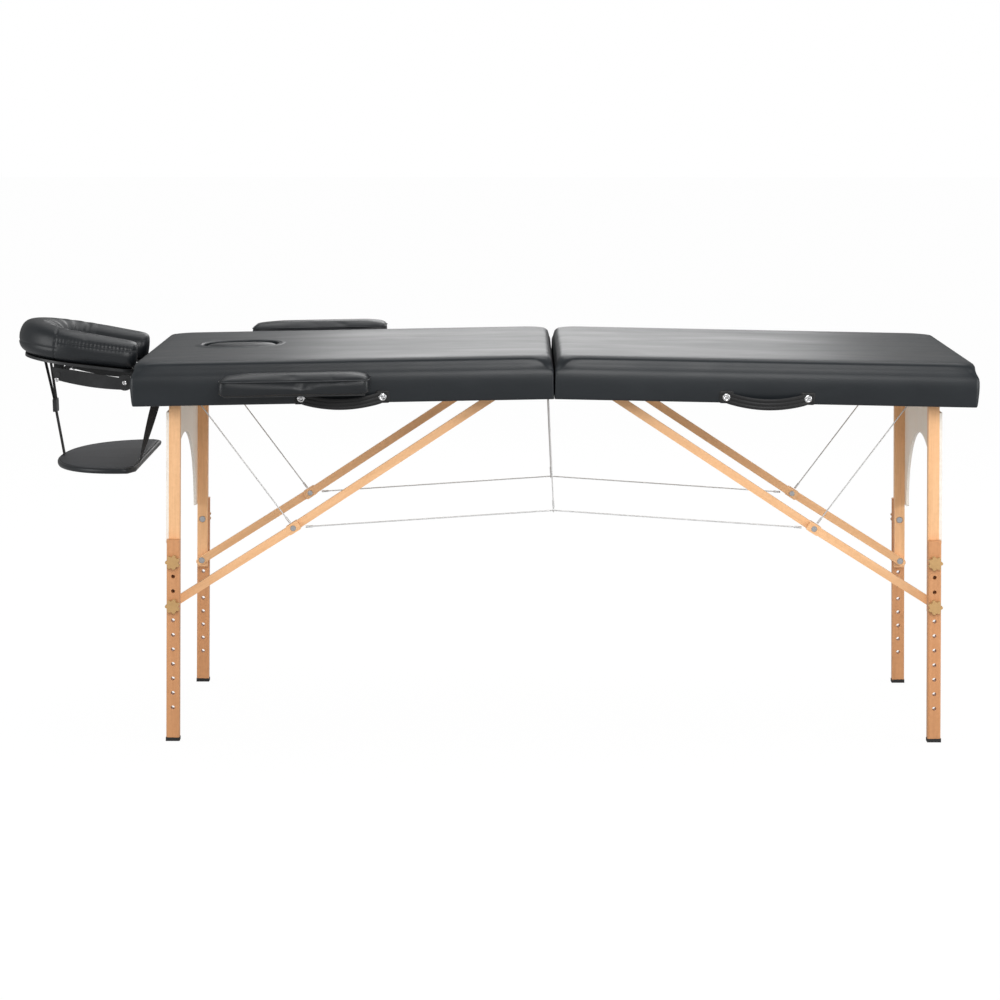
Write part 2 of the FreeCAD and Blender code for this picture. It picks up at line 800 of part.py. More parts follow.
def cross_cable():
    """World-placed cable from the foot half's mid joint to the centre hanger."""
    knee = half_point(knee_x, cable_plane, knee_z)
    middle = Vector(0, cable_plane, hanger_bottom)
    unit = middle.sub(knee).normalize()
    start = knee.add(Vector(unit).multiply(strut_lap_length + strut_lap_height / 2.0))
    end = middle.sub(Vector(unit).multiply(cable_end_gap))
    return cable_run(start, end, True, False)


def cables_of_half():
    """Foot-side stays and cross cables in world position."""
    pieces = []
    pieces.extend(both_sides(to_foot(stay_cable())))
    pieces.extend(both_sides(cross_cable()))
    return pieces


def cable_hanger():
    """Short cable under the hinge line with the ring that carries the cross cable."""
    ring_centre = hanger_bottom + hanger_ring_radius - 2.0 * cable_radius - cable_end_gap
    ring = Part.makeTorus(hanger_ring_radius, cable_radius, Vector(0, cable_plane, ring_centre),
                          Vector(1, 0, 0))
    x = -half_start - rail_edge_relief - 6.0
    top = hinge_height + rail_lift * math.cos(camber) + x * math.sin(camber) - cable_end_gap
    start = Vector(0, cable_plane, ring_centre + hanger_ring_radius - 0.5)
    elbow = Vector(x, cable_plane, top - 6.0)
    wire = rod_between(start, elbow, cable_radius)
    sleeve_end = start.add(elbow.sub(start).normalize().multiply(cable_sleeve_length))
    sleeve = rod_between(start, sleeve_end, cable_sleeve_radius)
    eye = Part.makeSphere(3.2, elbow)
    stem = rod_between(elbow, Vector(x, cable_plane, top), 2.4)
    return ring.multiFuse([wire, sleeve, eye, stem])


def carry_handle():
    """Webbing strap between two patches on the near side, bowed out for the hand."""
    half = handle_span / 2.0
    outer = -side_face
    y_patch = outer - handle_thickness
    z0 = handle_rise - handle_height / 2.0
    z1 = z0 + handle_height
    pieces = []
    for side in (-1.0, 1.0):
        middle = handle_centre + side * half
        pieces.append(box(middle - handle_patch / 2.0, middle + handle_patch / 2.0,
                          y_patch, outer, z0, z1))
        rivet = Part.makeCylinder(rivet_radius, rivet_height,
                                  Vector(middle, y_patch - rivet_height, handle_rise),
                                  Vector(0, 1, 0))
        pieces.append(rivet)
    reach = half - handle_patch / 2.0 + 2.0
    inner_arc = arc_edge(Vector(handle_centre - reach, outer, z0),
                         Vector(handle_centre, outer - handle_bulge, z0),
                         Vector(handle_centre + reach, outer, z0))
    outer_arc = arc_edge(Vector(handle_centre + reach, y_patch, z0),
                         Vector(handle_centre, y_patch - handle_bulge, z0),
                         Vector(handle_centre - reach, y_patch, z0))
    edges = [
        inner_arc,
        line_edge(Vector(handle_centre + reach, outer, z0),
                  Vector(handle_centre + reach, y_patch, z0)),
        outer_arc,
        line_edge(Vector(handle_centre - reach, y_patch, z0),
                  Vector(handle_centre - reach, outer, z0)),
    ]
    strap = Part.Face(Part.Wire(edges)).extrude(Vector(0, 0, handle_height))
    return strap.multiFuse(pieces).removeSplitter()


def armrest_pad(level):
    """Long crowned pad beside the bed, on the far side."""
    x0 = armrest_centre - armrest_length / 2.0
    x1 = armrest_centre + armrest_length / 2.0
    base = level + armrest_board_thickness + soft_clearance
    side = armrest_thickness - armrest_board_thickness - armrest_crown - 12.0
    return cushion_body(x0, x1, armrest_inner, armrest_inner + armrest_width, base,
                        side, 16.0, 12.0, armrest_crown, armrest_draw_in)


def armrest_bracket(level):
    """Board under the pad with two pegs for the side rail and posts up to the board."""
    x0 = armrest_centre - armrest_length / 2.0 + armrest_board_inset
    x1 = armrest_centre + armrest_length / 2.0 - armrest_board_inset
    y0 = armrest_inner + armrest_board_inset / 2.0
    y1 = armrest_inner + armrest_width - armrest_board_inset
    board = box(x0, x1, y0, y1, level, level + armrest_board_thickness)
    pieces = []
    for offset in (-armrest_peg_spacing / 2.0, armrest_peg_spacing / 2.0):
        x = armrest_centre + offset
        post_y = y0 + armrest_post_width / 2.0
        low = min(level, armrest_peg_level - armrest_peg_radius)
        high = max(level + armrest_board_thickness, armrest_peg_level + armrest_peg_radius)
        post = box(x - armrest_post_width / 2.0, x + armrest_post_width / 2.0,
                   y0, y0 + armrest_post_width, low, min(high, level + armrest_board_thickness))
        peg = rod_y(x, armrest_peg_level, side_face - armrest_peg_depth, post_y,
                    armrest_peg_radius)
        pieces.extend([post, peg])
    return board.multiFuse(pieces).removeSplitter()


def cradle_base():
    """Cross rail with two pegs for the end rail and a side plate at each end."""
    rail = box(cradle_rail_x, cradle_rail_x + cradle_rail_width, -cradle_half_width,
               cradle_half_width, cradle_rail_low, cradle_rail_top)
    pieces = []
    for offset in (-cradle_peg_spacing / 2.0, cradle_peg_spacing / 2.0):
        start = Vector(end_face - cradle_peg_depth, offset, cradle_pivot_rise)
        stop = Vector(cradle_rail_x + 2.0, offset, cradle_pivot_rise)
        pieces.append(rod_between(start, stop, cradle_peg_radius))
    near_face = half_length + 1.5
    plate_outline = [
        (near_face, -1.0),
        (near_face, cradle_rail_top - 2.0),
        (cradle_pivot_x - 2.0, cradle_pivot_rise + cradle_disc_radius - 5.0),
        (cradle_pivot_x + 11.0, cradle_pivot_rise + 5.0),
        (cradle_pivot_x + 11.0, cradle_pivot_rise - 6.0),
        (cradle_pivot_x - 1.0, cradle_pivot_rise - 13.0),
    ]
    plate = prism_y(plate_outline, cradle_half_width, cradle_half_width + cradle_side_plate)
    pivot = rod_y(cradle_pivot_x, cradle_pivot_rise, cradle_half_width,
                  cradle_arm_inner + cradle_arm_thickness + 2.0, cradle_pivot_bolt_radius)
    cap = rod_y(cradle_pivot_x, cradle_pivot_rise,
                cradle_arm_inner + cradle_arm_thickness + cradle_arm_gap,
                cradle_arm_inner + cradle_arm_thickness + cradle_arm_gap + 2.0,
                cradle_pivot_bolt_radius + 3.0)
    pieces.extend(both_sides(plate.multiFuse([pivot, cap])))
    pin_x = cradle_rail_x + cradle_rail_width / 2.0
    pin_y = -cradle_half_width + lever_pivot_inset
    pin = rod_between(Vector(pin_x, pin_y, cradle_rail_top - 1.0),
                      Vector(pin_x, pin_y, cradle_rail_top + lever_lift + lever_thickness),
                      lever_pin_radius)
    return rail.multiFuse(pieces + [pin]).removeSplitter()


def cradle_arm():
    """Curved side plate from its pivot disc out to the rod under the platform."""
    x0 = cradle_pivot_x
    z0 = cradle_pivot_rise
    x1 = cradle_rod_x + 12.0
    tip_low = cradle_rod_z - 12.0
    tip_high = cradle_rod_z + 17.0
    middle_x = (x0 + x1) / 2.0
    y0 = cradle_arm_inner
    low_start = Vector(x0 + 4.0, y0, z0 - cradle_disc_radius + 2.0)
    low_middle = Vector(middle_x + 10.0, y0, z0 - 6.0)
    low_end = Vector(x1 - 6.0, y0, tip_low)
    high_end = Vector(x1 + 2.0, y0, tip_high)
    high_middle = Vector(middle_x, y0, z0 - 6.0 + cradle_arm_height)
    high_start = Vector(x0 + 12.0, y0, z0 + cradle_disc_radius - 7.0)
    edges = [
        arc_edge(low_start, low_middle, low_end),
        line_edge(low_end, high_end),
        arc_edge(high_end, high_middle, high_start),
        line_edge(high_start, low_start),
    ]
    plate = Part.Face(Part.Wire(edges)).extrude(Vector(0, cradle_arm_thickness, 0))
    disc = rod_y(x0, z0, y0, y0 + cradle_arm_thickness, cradle_disc_radius)
    bore = rod_y(x0, z0, y0 - 1.0, y0 + cradle_arm_thickness + 1.0,
                 cradle_pivot_bolt_radius + pivot_clearance)
    return plate.fuse(disc).removeSplitter().cut(bore)


def cradle_arms():
    """Both arms, joined by the rod that carries the platform."""
    reach = cradle_arm_inner + cradle_arm_thickness
    rod = rod_y(cradle_rod_x, cradle_rod_z, -reach - 2.0, reach + 2.0, cradle_rod_radius)
    arms = both_sides(cradle_arm())
    return rod.multiFuse(arms).removeSplitter()


def horseshoe(inset, z0, length_inset):
    """Outline of the cradle pad, open towards the bed, at one height."""
    half = pad_width / 2.0 - inset
    inner = pad_opening_width / 2.0 + inset
    start = length_inset
    bend = pad_length - half - inset
    outer_bend = max(bend, start + 10.0)
    end = pad_length - inset
    inner_end = pad_opening_depth - inset
    inner_bend = inner_end - inner
    lobe = (half - inner) / 2.0
    lobe_y = inner + lobe
    lobe_x = start + lobe * 0.8

    def point(x, y):
        return Vector(x, y, z0)

    far_bend = point(outer_bend + (end - outer_bend) * 0.7071, half * 0.7071)
    near_bend = point(outer_bend + (end - outer_bend) * 0.7071, -half * 0.7071)
    inner_far = point(inner_bend + inner * 0.7071, inner * 0.7071)
    inner_near = point(inner_bend + inner * 0.7071, -inner * 0.7071)
    edges = [
        line_edge(point(lobe_x, half), point(outer_bend, half)),
        arc_edge(point(outer_bend, half), far_bend, point(end, 0)),
        arc_edge(point(end, 0), near_bend, point(outer_bend, -half)),
        line_edge(point(outer_bend, -half), point(lobe_x, -half)),
        arc_edge(point(lobe_x, -half), point(start, -lobe_y), point(lobe_x, -inner)),
        line_edge(point(lobe_x, -inner), point(inner_bend, -inner)),
        arc_edge(point(inner_bend, -inner), inner_near, point(inner_end, 0)),
        arc_edge(point(inner_end, 0), inner_far, point(inner_bend, inner)),
        line_edge(point(inner_bend, inner), point(lobe_x, inner)),
        arc_edge(point(lobe_x, inner), point(start, lobe_y), point(lobe_x, half)),
    ]
    return Part.Wire(edges)


def tilt_cradle(shape):
    """Carry a piece from its flat drawing to the tilted seat of the pad."""
    placed = shape.copy()
    placed.rotate(Vector(0, 0, 0), Vector(0, 1, 0), -pad_tilt)
    placed.translate(Vector(half_length + pad_start, 0, pad_start_rise))
    return placed


def cradle_pad():
    """Horseshoe pad with bulged sides and a rounded top edge."""
    shoulder = pad_thickness - pad_edge_height
    rings = [
        horseshoe(pad_draw_in, soft_clearance, pad_draw_in),
        horseshoe(0.0, shoulder * 0.5, 0.0),
        horseshoe(pad_draw_in * 0.4, shoulder, pad_draw_in * 0.4),
        horseshoe(pad_top_inset * 0.45, pad_thickness - pad_edge_height * 0.3,
                  pad_top_inset * 0.45),
        horseshoe(pad_top_inset, pad_thickness, pad_top_inset),
    ]
    body = Part.makeLoft(rings, True, True)
    return tilt_cradle(body)


def cradle_platform():
    """Thin horseshoe board with two lugs that turn on the arm rod."""
    wire = horseshoe(platform_inset, -platform_thickness, platform_inset)
    board = Part.Face(wire).extrude(Vector(0, 0, platform_thickness))
    board = tilt_cradle(board)
    pieces = []
    tilt = math.radians(pad_tilt)
    distance = cradle_rod_x - half_length - pad_start
    lug_top = pad_start_rise + distance * math.tan(tilt) - platform_thickness + 1.5
    for side in (-1.0, 1.0):
        y0 = side * platform_lug_spacing / 2.0 - platform_lug_thickness / 2.0
        y1 = y0 + platform_lug_thickness
        ring = rod_y(cradle_rod_x, cradle_rod_z, y0, y1, platform_lug_radius)
        web = box(cradle_rod_x - platform_lug_radius, cradle_rod_x + platform_lug_radius,
                  y0, y1, cradle_rod_z, lug_top)
        pieces.append(ring.fuse(web))
    board = board.multiFuse(pieces).removeSplitter()
    reach = platform_lug_spacing
    bore = rod_y(cradle_rod_x, cradle_rod_z, -reach, reach, cradle_rod_radius + pivot_clearance)
    return board.cut(bore)


def cradle_lever():
    """Flat cam lever lying along the top of the cross rail."""
    x = cradle_rail_x + cradle_rail_width / 2.0
    y = -cradle_half_width + lever_pivot_inset
    z0 = cradle_rail_top + lever_lift
    z1 = z0 + lever_thickness
    half = lever_width / 2.0
    base = Part.makeCylinder(half, lever_thickness, Vector(x, y, z0))
    tip_y = y + lever_length - half
    blade = prism_z([(x - half, y), (x + half, y), (x + half * 0.7, tip_y),
                     (x - half * 0.7, tip_y)], z0, z1)
    tip = Part.makeCylinder(half * 0.7, lever_thickness, Vector(x, tip_y, z0))
    bore = Part.makeCylinder(lever_pin_radius + pivot_clearance, lever_thickness + 2.0,
                             Vector(x, y, z0 - 1.0))
    return base.multiFuse([blade, tip]).removeSplitter().cut(bore)


def prism_z(points, z0, z1):
    """Straight-sided outline in x and y, extruded upwards."""
    corners = [Vector(x, y, z0) for x, y in points]
    wire = Part.makePolygon(corners + [corners[0]])
    return Part.Face(wire).extrude(Vector(0, 0, z1 - z0))


def shelf_outline(inset, z):
    """Outline of the arm shelf at one height: straight side towards the bed."""
    x0 = half_length + shelf_start + inset
    x1 = half_length + shelf_start + shelf_depth - inset
    half = shelf_half_length - inset
    corner = 14.0
    nose_x = x0 + (x1 - x0) * 0.72
    nose_y = half * 0.66

    def point(x, y):
        return Vector(x, y, z)

    tip = point(x1, 0)
    edges = [
        line_edge(point(x0, half - corner), point(x0, -half + corner)),
        arc_edge(point(x0, -half + corner), point(x0 + corner * 0.3, -half + corner * 0.3),
                 point(x0 + corner, -half)),
        arc_edge(point(x0 + corner, -half), point(nose_x, -nose_y), tip),
        arc_edge(tip, point(nose_x, nose_y), point(x0 + corner, half)),
        arc_edge(point(x0 + corner, half), point(x0 + corner * 0.3, half - corner * 0.3),
                 point(x0, half - corner)),
    ]
    return Part.Wire(edges)


def arm_shelf():
    """Hanging padded arm rest with softened rims."""
    top = -shelf_drop
    low = top - shelf_thickness
    rings = [
        shelf_outline(shelf_edge, low),
        shelf_outline(0.0, low + shelf_edge),
        shelf_outline(0.0, top - shelf_edge),
        shelf_outline(shelf_edge, top),
    ]
    return Part.makeLoft(rings, True, True)


def flat_strap(start, end, width, across):
    """Straight webbing between two points; across is the direction of its width."""
    run = end.sub(start)
    unit = Vector(across).normalize()
    thin = run.cross(unit).normalize()
    w = Vector(unit).multiply(width / 2.0)
    t = Vector(thin).multiply(strap_thickness / 2.0)
    corners = [
        start.add(w).add(t),
        start.sub(w).add(t),
        start.sub(w).sub(t),
        start.add(w).sub(t),
    ]
    wire = Part.makePolygon(corners + [corners[0]])
    return Part.Face(wire).extrude(run)


def platform_bottom(reach):
    """Level of the platform's underside at a distance from the bed's end."""
    return pad_start_rise + (reach - pad_start - platform_thickness * math.sin(
        math.radians(pad_tilt))) * math.tan(math.radians(pad_tilt)) - platform_thickness


def buckle_centre():
    """Middle of the slide buckle on the front strap."""
    x_low = half_length + shelf_start + shelf_depth - 10.0
    x_high = half_length + front_strap_reach
    z_low = -shelf_drop
    z_high = platform_bottom(front_strap_reach)
    z = z_high - buckle_drop
    share = (z_high - z) / (z_high - z_low)
    return Vector(x_high + (x_low - x_high) * share, 0, z)


def shelf_straps():
    """Front strap loop and tail, and the rear strap up to the end rail."""
    middle = buckle_centre()
    x_low = half_length + shelf_start + shelf_depth - 10.0
    tail_top = Vector(middle.x, 0, middle.z - buckle_height / 2.0 - cable_end_gap)
    tail_low = Vector(x_low, 0, -shelf_drop + cable_end_gap)
    tail = flat_strap(tail_top, tail_low, strap_width, Vector(0, 1, 0))
    pieces = [tail]
    for side in (-1.0, 1.0):
        reach = front_strap_reach + side * front_strap_spread / 2.0
        top = Vector(half_length + reach, 0, platform_bottom(reach) - cable_end_gap - 0.2)
        low = Vector(middle.x + side * 2.0, 0, middle.z + buckle_height / 2.0 + cable_end_gap)
        pieces.append(flat_strap(top, low, strap_width, Vector(0, 1, 0)))
    x_top = half_length - rear_strap_setback
    top = Vector(x_top, rear_strap_offset, rail_lift - cable_end_gap)
    low = Vector(half_length + shelf_start + 6.0, rear_strap_offset, -shelf_drop + cable_end_gap)
    pieces.append(flat_strap(low, top, rear_strap_width, Vector(0, 1, 0)))
    return Part.makeCompound(pieces)


def strap_buckle():
    """Slide buckle of the front strap."""
    middle = buckle_centre()
    body = box(middle.x - buckle_thickness / 2.0, middle.x + buckle_thickness / 2.0,
               -buckle_width / 2.0, buckle_width / 2.0,
               middle.z - buckle_height / 2.0, middle.z + buckle_height / 2.0)
    edges = [edge for edge in body.Edges if edge.BoundBox.XLength > 1.0]
    return body.makeFillet(5.0, edges)


def foot_half_nodes():
    """Pieces of the foot half in world position."""
    nodes = {
        "foot_frame": to_foot(frame_rails(False, False)),
        "foot_deck": to_foot(deck_board(False)),
        "foot_cushion": to_foot(cushion(False)),
        "foot_brackets": to_foot(brackets()),
        "foot_handle": to_foot(carry_handle()),
        "foot_upper_legs": to_foot(splayed(upper_legs())),
        "foot_apron": to_foot(splayed(apron())),
        "foot_leg_bolts": to_foot(splayed(leg_bolts())),
        "foot_lower_struts": to_foot(Part.makeCompound(both_sides(lower_strut()))),
        "foot_upper_struts": to_foot(Part.makeCompound(both_sides(upper_strut()))),
        "foot_knee_heads": to_foot(Part.makeCompound(both_sides(knee_head()))),
        "foot_knee_nuts": to_foot(Part.makeCompound(both_sides(knee_nut()))),
        "foot_hinge_leaves": to_foot(Part.makeCompound(hinge_leaves((0, 2, 4)))),
        "foot_cables": Part.makeCompound(cables_of_half()),
    }
    return nodes


def head_half_nodes():
    """Pieces of the head half in world position."""
    cables = Part.makeCompound(cables_of_half())
    leaves_and_pins = hinge_leaves((1, 3)) + hinge_pins()
    near_pad = mirrored_y(armrest_pad(armrest_near_level))
    near_bracket = mirrored_y(armrest_bracket(armrest_near_level))
    nodes = {
        "head_frame": to_head(frame_rails(True, True)),
        "head_deck": to_head(deck_board(True)),
        "head_cushion": to_head(cushion(True)),
        "head_brackets": to_head(brackets()),
        "head_handle": to_head(carry_handle()),
        "head_upper_legs": to_head(splayed(upper_legs())),
        "head_apron": to_head(splayed(apron())),
        "head_leg_bolts": to_head(splayed(leg_bolts())),
        "head_lower_struts": to_head(Part.makeCompound(both_sides(lower_strut()))),
        "head_upper_struts": to_head(Part.makeCompound(both_sides(upper_strut()))),
        "head_knee_heads": to_head(Part.makeCompound(both_sides(knee_head()))),
        "head_knee_nuts": to_head(Part.makeCompound(both_sides(knee_nut()))),
        "head_hinge_leaves": to_head(Part.makeCompound(leaves_and_pins)),
        "head_cables": cables.mirror(Vector(0, 0, 0), Vector(1, 0, 0)),
        "cable_hangers": Part.makeCompound(both_sides(cable_hanger())),
        "face_plug": to_head(face_plug()),
        "armrest_pad_near": to_head(near_pad),
        "armrest_bracket_near": to_head(near_bracket),
        "armrest_pad_far": to_head(armrest_pad(armrest_far_level)),
        "armrest_bracket_far": to_head(armrest_bracket(armrest_far_level)),
        "cradle_base": to_head(cradle_base()),
        "cradle_arms": to_head(cradle_arms()),
        "cradle_platform": to_head(cradle_platform()),
        "cradle_pad": to_head(cradle_pad()),
        "cradle_lever": to_head(cradle_lever()),
        "arm_shelf": to_head(arm_shelf()),
        "shelf_straps": to_head(shelf_straps()),
        "strap_buckle": to_head(strap_buckle()),
    }
    return nodes


def leg_nodes():
    """Lower legs, rubber feet and knobs at the four corners."""
    nodes = {}
    for end, place in (("head", to_head), ("foot", to_foot)):
        for side in ("near", "far"):
            flip = mirrored_y if side == "near" else (lambda shape: shape)
            corner = end + "_" + side
            nodes["lower_leg_" + corner] = place(splayed(flip(lower_leg())))
            nodes["rubber_foot_" + corner] = cut_at_floor(place(splayed(flip(foot()))))
            for name, level in zip(("upper", "lower"), knob_levels()):
                nodes["knob_" + corner + "_" + name] = place(splayed(flip(knob(level))))
    return nodes


def all_nodes():
    """Every piece, moved so that the origin lies under the middle of the whole."""
    nodes = {}
    nodes.update(head_half_nodes())
    nodes.update(foot_half_nodes())
    nodes.update(leg_nodes())
    return nodes


def middle_shift(nodes):
    """Move that puts the middle of the whole length over the origin."""
    low = min(shape.optimalBoundingBox(False).XMin for shape in nodes.values())
    high = max(shape.optimalBoundingBox(False).XMax for shape in nodes.values())
    return Vector(-(low + high) / 2.0, 0, 0)


table_nodes = all_nodes()
table_shift = middle_shift(table_nodes)
os.makedirs("parts", exist_ok=True)
for node_name, node_shape in table_nodes.items():
    node_shape.translate(table_shift)
    node_shape.exportStep("parts/" + node_name + ".step")
print("nodes", len(table_nodes), "shift", round(table_shift.x, 4))
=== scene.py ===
"""Portable massage table: upholstery, straps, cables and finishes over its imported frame."""

import json
import logging
import math
from dataclasses import dataclass
from enum import Enum
from typing import Callable, Sequence

import bmesh
import bpy
from mathutils import Matrix, Vector, noise


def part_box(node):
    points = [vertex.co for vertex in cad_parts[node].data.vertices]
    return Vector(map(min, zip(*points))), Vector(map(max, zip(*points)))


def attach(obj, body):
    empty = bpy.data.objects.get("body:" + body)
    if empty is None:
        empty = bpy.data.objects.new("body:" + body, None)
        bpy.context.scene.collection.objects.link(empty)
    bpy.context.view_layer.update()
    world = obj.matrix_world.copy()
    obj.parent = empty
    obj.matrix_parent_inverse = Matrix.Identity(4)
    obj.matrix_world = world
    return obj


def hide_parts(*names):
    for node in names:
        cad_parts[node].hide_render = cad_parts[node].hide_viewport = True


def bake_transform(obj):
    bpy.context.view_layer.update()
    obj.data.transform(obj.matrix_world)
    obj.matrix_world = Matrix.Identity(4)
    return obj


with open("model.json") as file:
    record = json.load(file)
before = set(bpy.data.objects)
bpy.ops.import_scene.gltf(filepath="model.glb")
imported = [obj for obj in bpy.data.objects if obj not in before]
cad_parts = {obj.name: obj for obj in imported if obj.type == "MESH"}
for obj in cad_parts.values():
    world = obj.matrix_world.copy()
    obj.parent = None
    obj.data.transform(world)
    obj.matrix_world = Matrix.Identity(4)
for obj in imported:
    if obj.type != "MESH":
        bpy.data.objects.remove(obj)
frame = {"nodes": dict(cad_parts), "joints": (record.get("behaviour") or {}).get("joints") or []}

LOG = logging.getLogger("massage_table")
MM = 0.001
Color = tuple[float, float, float]
Ring = list[Vector]
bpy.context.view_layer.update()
CLOTH_FRAMES = 20
SEAT_BAND = 0.004
PLY_WAVES = 3100.0


class End(Enum):
    """The two halves of the table and the way each runs out from the centre hinge."""

    HEAD = -1
    FOOT = 1


class Side(Enum):
    """The two long sides of the table."""

    NEAR = -1
    FAR = 1


class Grain(Enum):
    """Way that the wood grain runs in a piece, as degrees from upright towards +X."""

    UPRIGHT = 0.0
    ALONG_BED = 90.0
    HEAD_STRUT = 58.5
    FOOT_STRUT = -58.5


@dataclass(frozen=True)
class HalfFrame:
    """Maps millimetres in a flat half, out from the hinge line, to metres in the row frame."""

    camber: float = math.radians(1.1)

    def origin(self) -> Vector:
        """Middle of the hinge line."""
        joint = next(j for j in frame["joints"] if j["name"] == "centre_fold")
        return Vector(joint["pos_m"])

    def point(self, end: End, x: float, y: float, z: float) -> Vector:
        """Row-frame position of a point of a half.

        Args:
            end: The half that the point belongs to.
            x: Millimetres out from the hinge line.
            y: Millimetres across the bed.
            z: Millimetres above the hinge line.

        Returns:
            The point in metres.
        """
        c, s = math.cos(self.camber), math.sin(self.camber)
        out = x * c + z * s
        up = -x * s + z * c
        return self.origin() + Vector((end.value * out, y, up)) * MM


HALF = HalfFrame()


# Shader building.


class NodeKit:
    """Short calls for adding and joining shader nodes in one tree."""

    def __init__(self, tree: bpy.types.NodeTree) -> None:
        """Keep the tree that the nodes go into."""
        self.tree = tree

    def add(self, kind: str, inputs: dict | None = None, **settings: object) -> bpy.types.Node:
        """Add a node.

        Args:
            kind: Node type, such as ShaderNodeTexNoise.
            inputs: Values or sockets for its inputs, by name or number.
            **settings: Attributes to set on the node.

        Returns:
            The new node.
        """
        node = self.tree.nodes.new(kind)
        for name, value in settings.items():
            setattr(node, name, value)
        for name, value in (inputs or {}).items():
            if isinstance(value, bpy.types.NodeSocket):
                self.tree.links.new(value, node.inputs[name])
            else:
                node.inputs[name].default_value = value
        return node

    def math(self, operation: str, a: object, b: object = 0.0) -> bpy.types.NodeSocket:
        """Output of a Math node over two values or sockets."""
        return self.add("ShaderNodeMath", {0: a, 1: b}, operation=operation).outputs[0]

    def mix(self, factor: object, a: object, b: object) -> bpy.types.NodeSocket:
        """Colour between two colours by a factor."""
        node = self.add("ShaderNodeMix", data_type="RGBA")
        for index, value in ((0, factor), (6, a), (7, b)):
            if isinstance(value, bpy.types.NodeSocket):
                self.tree.links.new(value, node.inputs[index])
            elif index:
                node.inputs[index].default_value = (*value, 1.0)
            else:
                node.inputs[index].default_value = value
        return node.outputs[2]

    def ramp(self, factor: bpy.types.NodeSocket, low: float, high: float) -> bpy.types.NodeSocket:
        """Factor stretched so that low gives 0 and high gives 1."""
        node = self.add("ShaderNodeMapRange", {0: factor, 1: low, 2: high})
        return node.outputs[0]


def start_group(name: str, takes: dict[str, str], gives: dict[str, str]) -> NodeKit:
    """Make an empty shader node group with its sockets.

    Args:
        name: Name of the group.
        takes: Input names and their kinds: Float, Color or Vector.
        gives: Output names and their kinds.

    Returns:
        A kit over the group's tree, which has the sockets and no nodes yet.
    """
    tree = bpy.data.node_groups.new(name, "ShaderNodeTree")
    for way, sockets in (("INPUT", takes), ("OUTPUT", gives)):
        for socket, kind in sockets.items():
            tree.interface.new_socket(socket, in_out=way, socket_type="NodeSocket" + kind)
    return NodeKit(tree)


def shared_group(name: str, build: Callable[[], NodeKit]) -> bpy.types.NodeTree:
    """Return a node group, building it the first time that it is asked for."""
    if name not in bpy.data.node_groups:
        build()
    return bpy.data.node_groups[name]


def build_grain() -> NodeKit:
    """Wood figure: long wavering streaks, fine pores and slow colour drift."""
    kit = start_group("wood_grain", {"Vector": "Vector", "Contrast": "Float"},
                      {"Figure": "Float", "Pores": "Float", "Drift": "Float"})
    source = kit.add("NodeGroupInput")
    stretch = kit.add("ShaderNodeMapping", {0: source.outputs["Vector"], 3: (55.0, 55.0, 2.4)})
    streaks = kit.add("ShaderNodeTexNoise", {"Vector": stretch.outputs[0], "Scale": 1.6,
                                             "Detail": 5.0, "Roughness": 0.62,
                                             "Distortion": 0.5})
    fine = kit.add("ShaderNodeMapping", {0: source.outputs["Vector"], 3: (900.0, 900.0, 26.0)})
    pores = kit.add("ShaderNodeTexNoise", {"Vector": fine.outputs[0], "Scale": 1.0,
                                           "Detail": 2.0})
    slow = kit.add("ShaderNodeTexNoise", {"Vector": source.outputs["Vector"], "Scale": 5.0})
    figure = kit.math("MULTIPLY_ADD", streaks.outputs[0], source.outputs["Contrast"])
    figure.node.inputs[2].default_value = 0.0
    goal = kit.add("NodeGroupOutput")
    kit.tree.links.new(kit.ramp(figure, 0.25, 0.75), goal.inputs["Figure"])
    kit.tree.links.new(kit.ramp(pores.outputs[0], 0.38, 0.62), goal.inputs["Pores"])
    kit.tree.links.new(slow.outputs[0], goal.inputs["Drift"])
    return kit


def build_pebble() -> NodeKit:
    """Upholstery surface: pressed pebble texture, soft dimples and worn sheen."""
    kit = start_group("vinyl_pebble", {"Vector": "Vector", "Scale": "Float"},
                      {"Height": "Float", "Sheen": "Float", "Dimple": "Float"})
    source = kit.add("NodeGroupInput")
    cells = kit.add("ShaderNodeTexVoronoi", {"Vector": source.outputs["Vector"],
                                             "Scale": source.outputs["Scale"]},
                    feature="SMOOTH_F1")
    fine = kit.add("ShaderNodeTexNoise", {"Vector": source.outputs["Vector"],
                                          "Scale": source.outputs["Scale"], "Detail": 3.0})
    streak = kit.add("ShaderNodeMapping", {0: source.outputs["Vector"], 3: (2.6, 9.0, 7.0)})
    cloudy = kit.add("ShaderNodeTexNoise", {"Vector": streak.outputs[0], "Scale": 1.0,
                                            "Detail": 5.0, "Roughness": 0.6,
                                            "Distortion": 0.6})
    dimple = kit.add("ShaderNodeTexNoise", {"Vector": source.outputs["Vector"], "Scale": 9.0,
                                            "Detail": 2.0})
    goal = kit.add("NodeGroupOutput")
    height = kit.math("ADD", cells.outputs[0], fine.outputs[0])
    kit.tree.links.new(height, goal.inputs["Height"])
    kit.tree.links.new(cloudy.outputs[0], goal.inputs["Sheen"])
    kit.tree.links.new(dimple.outputs[0], goal.inputs["Dimple"])
    return kit


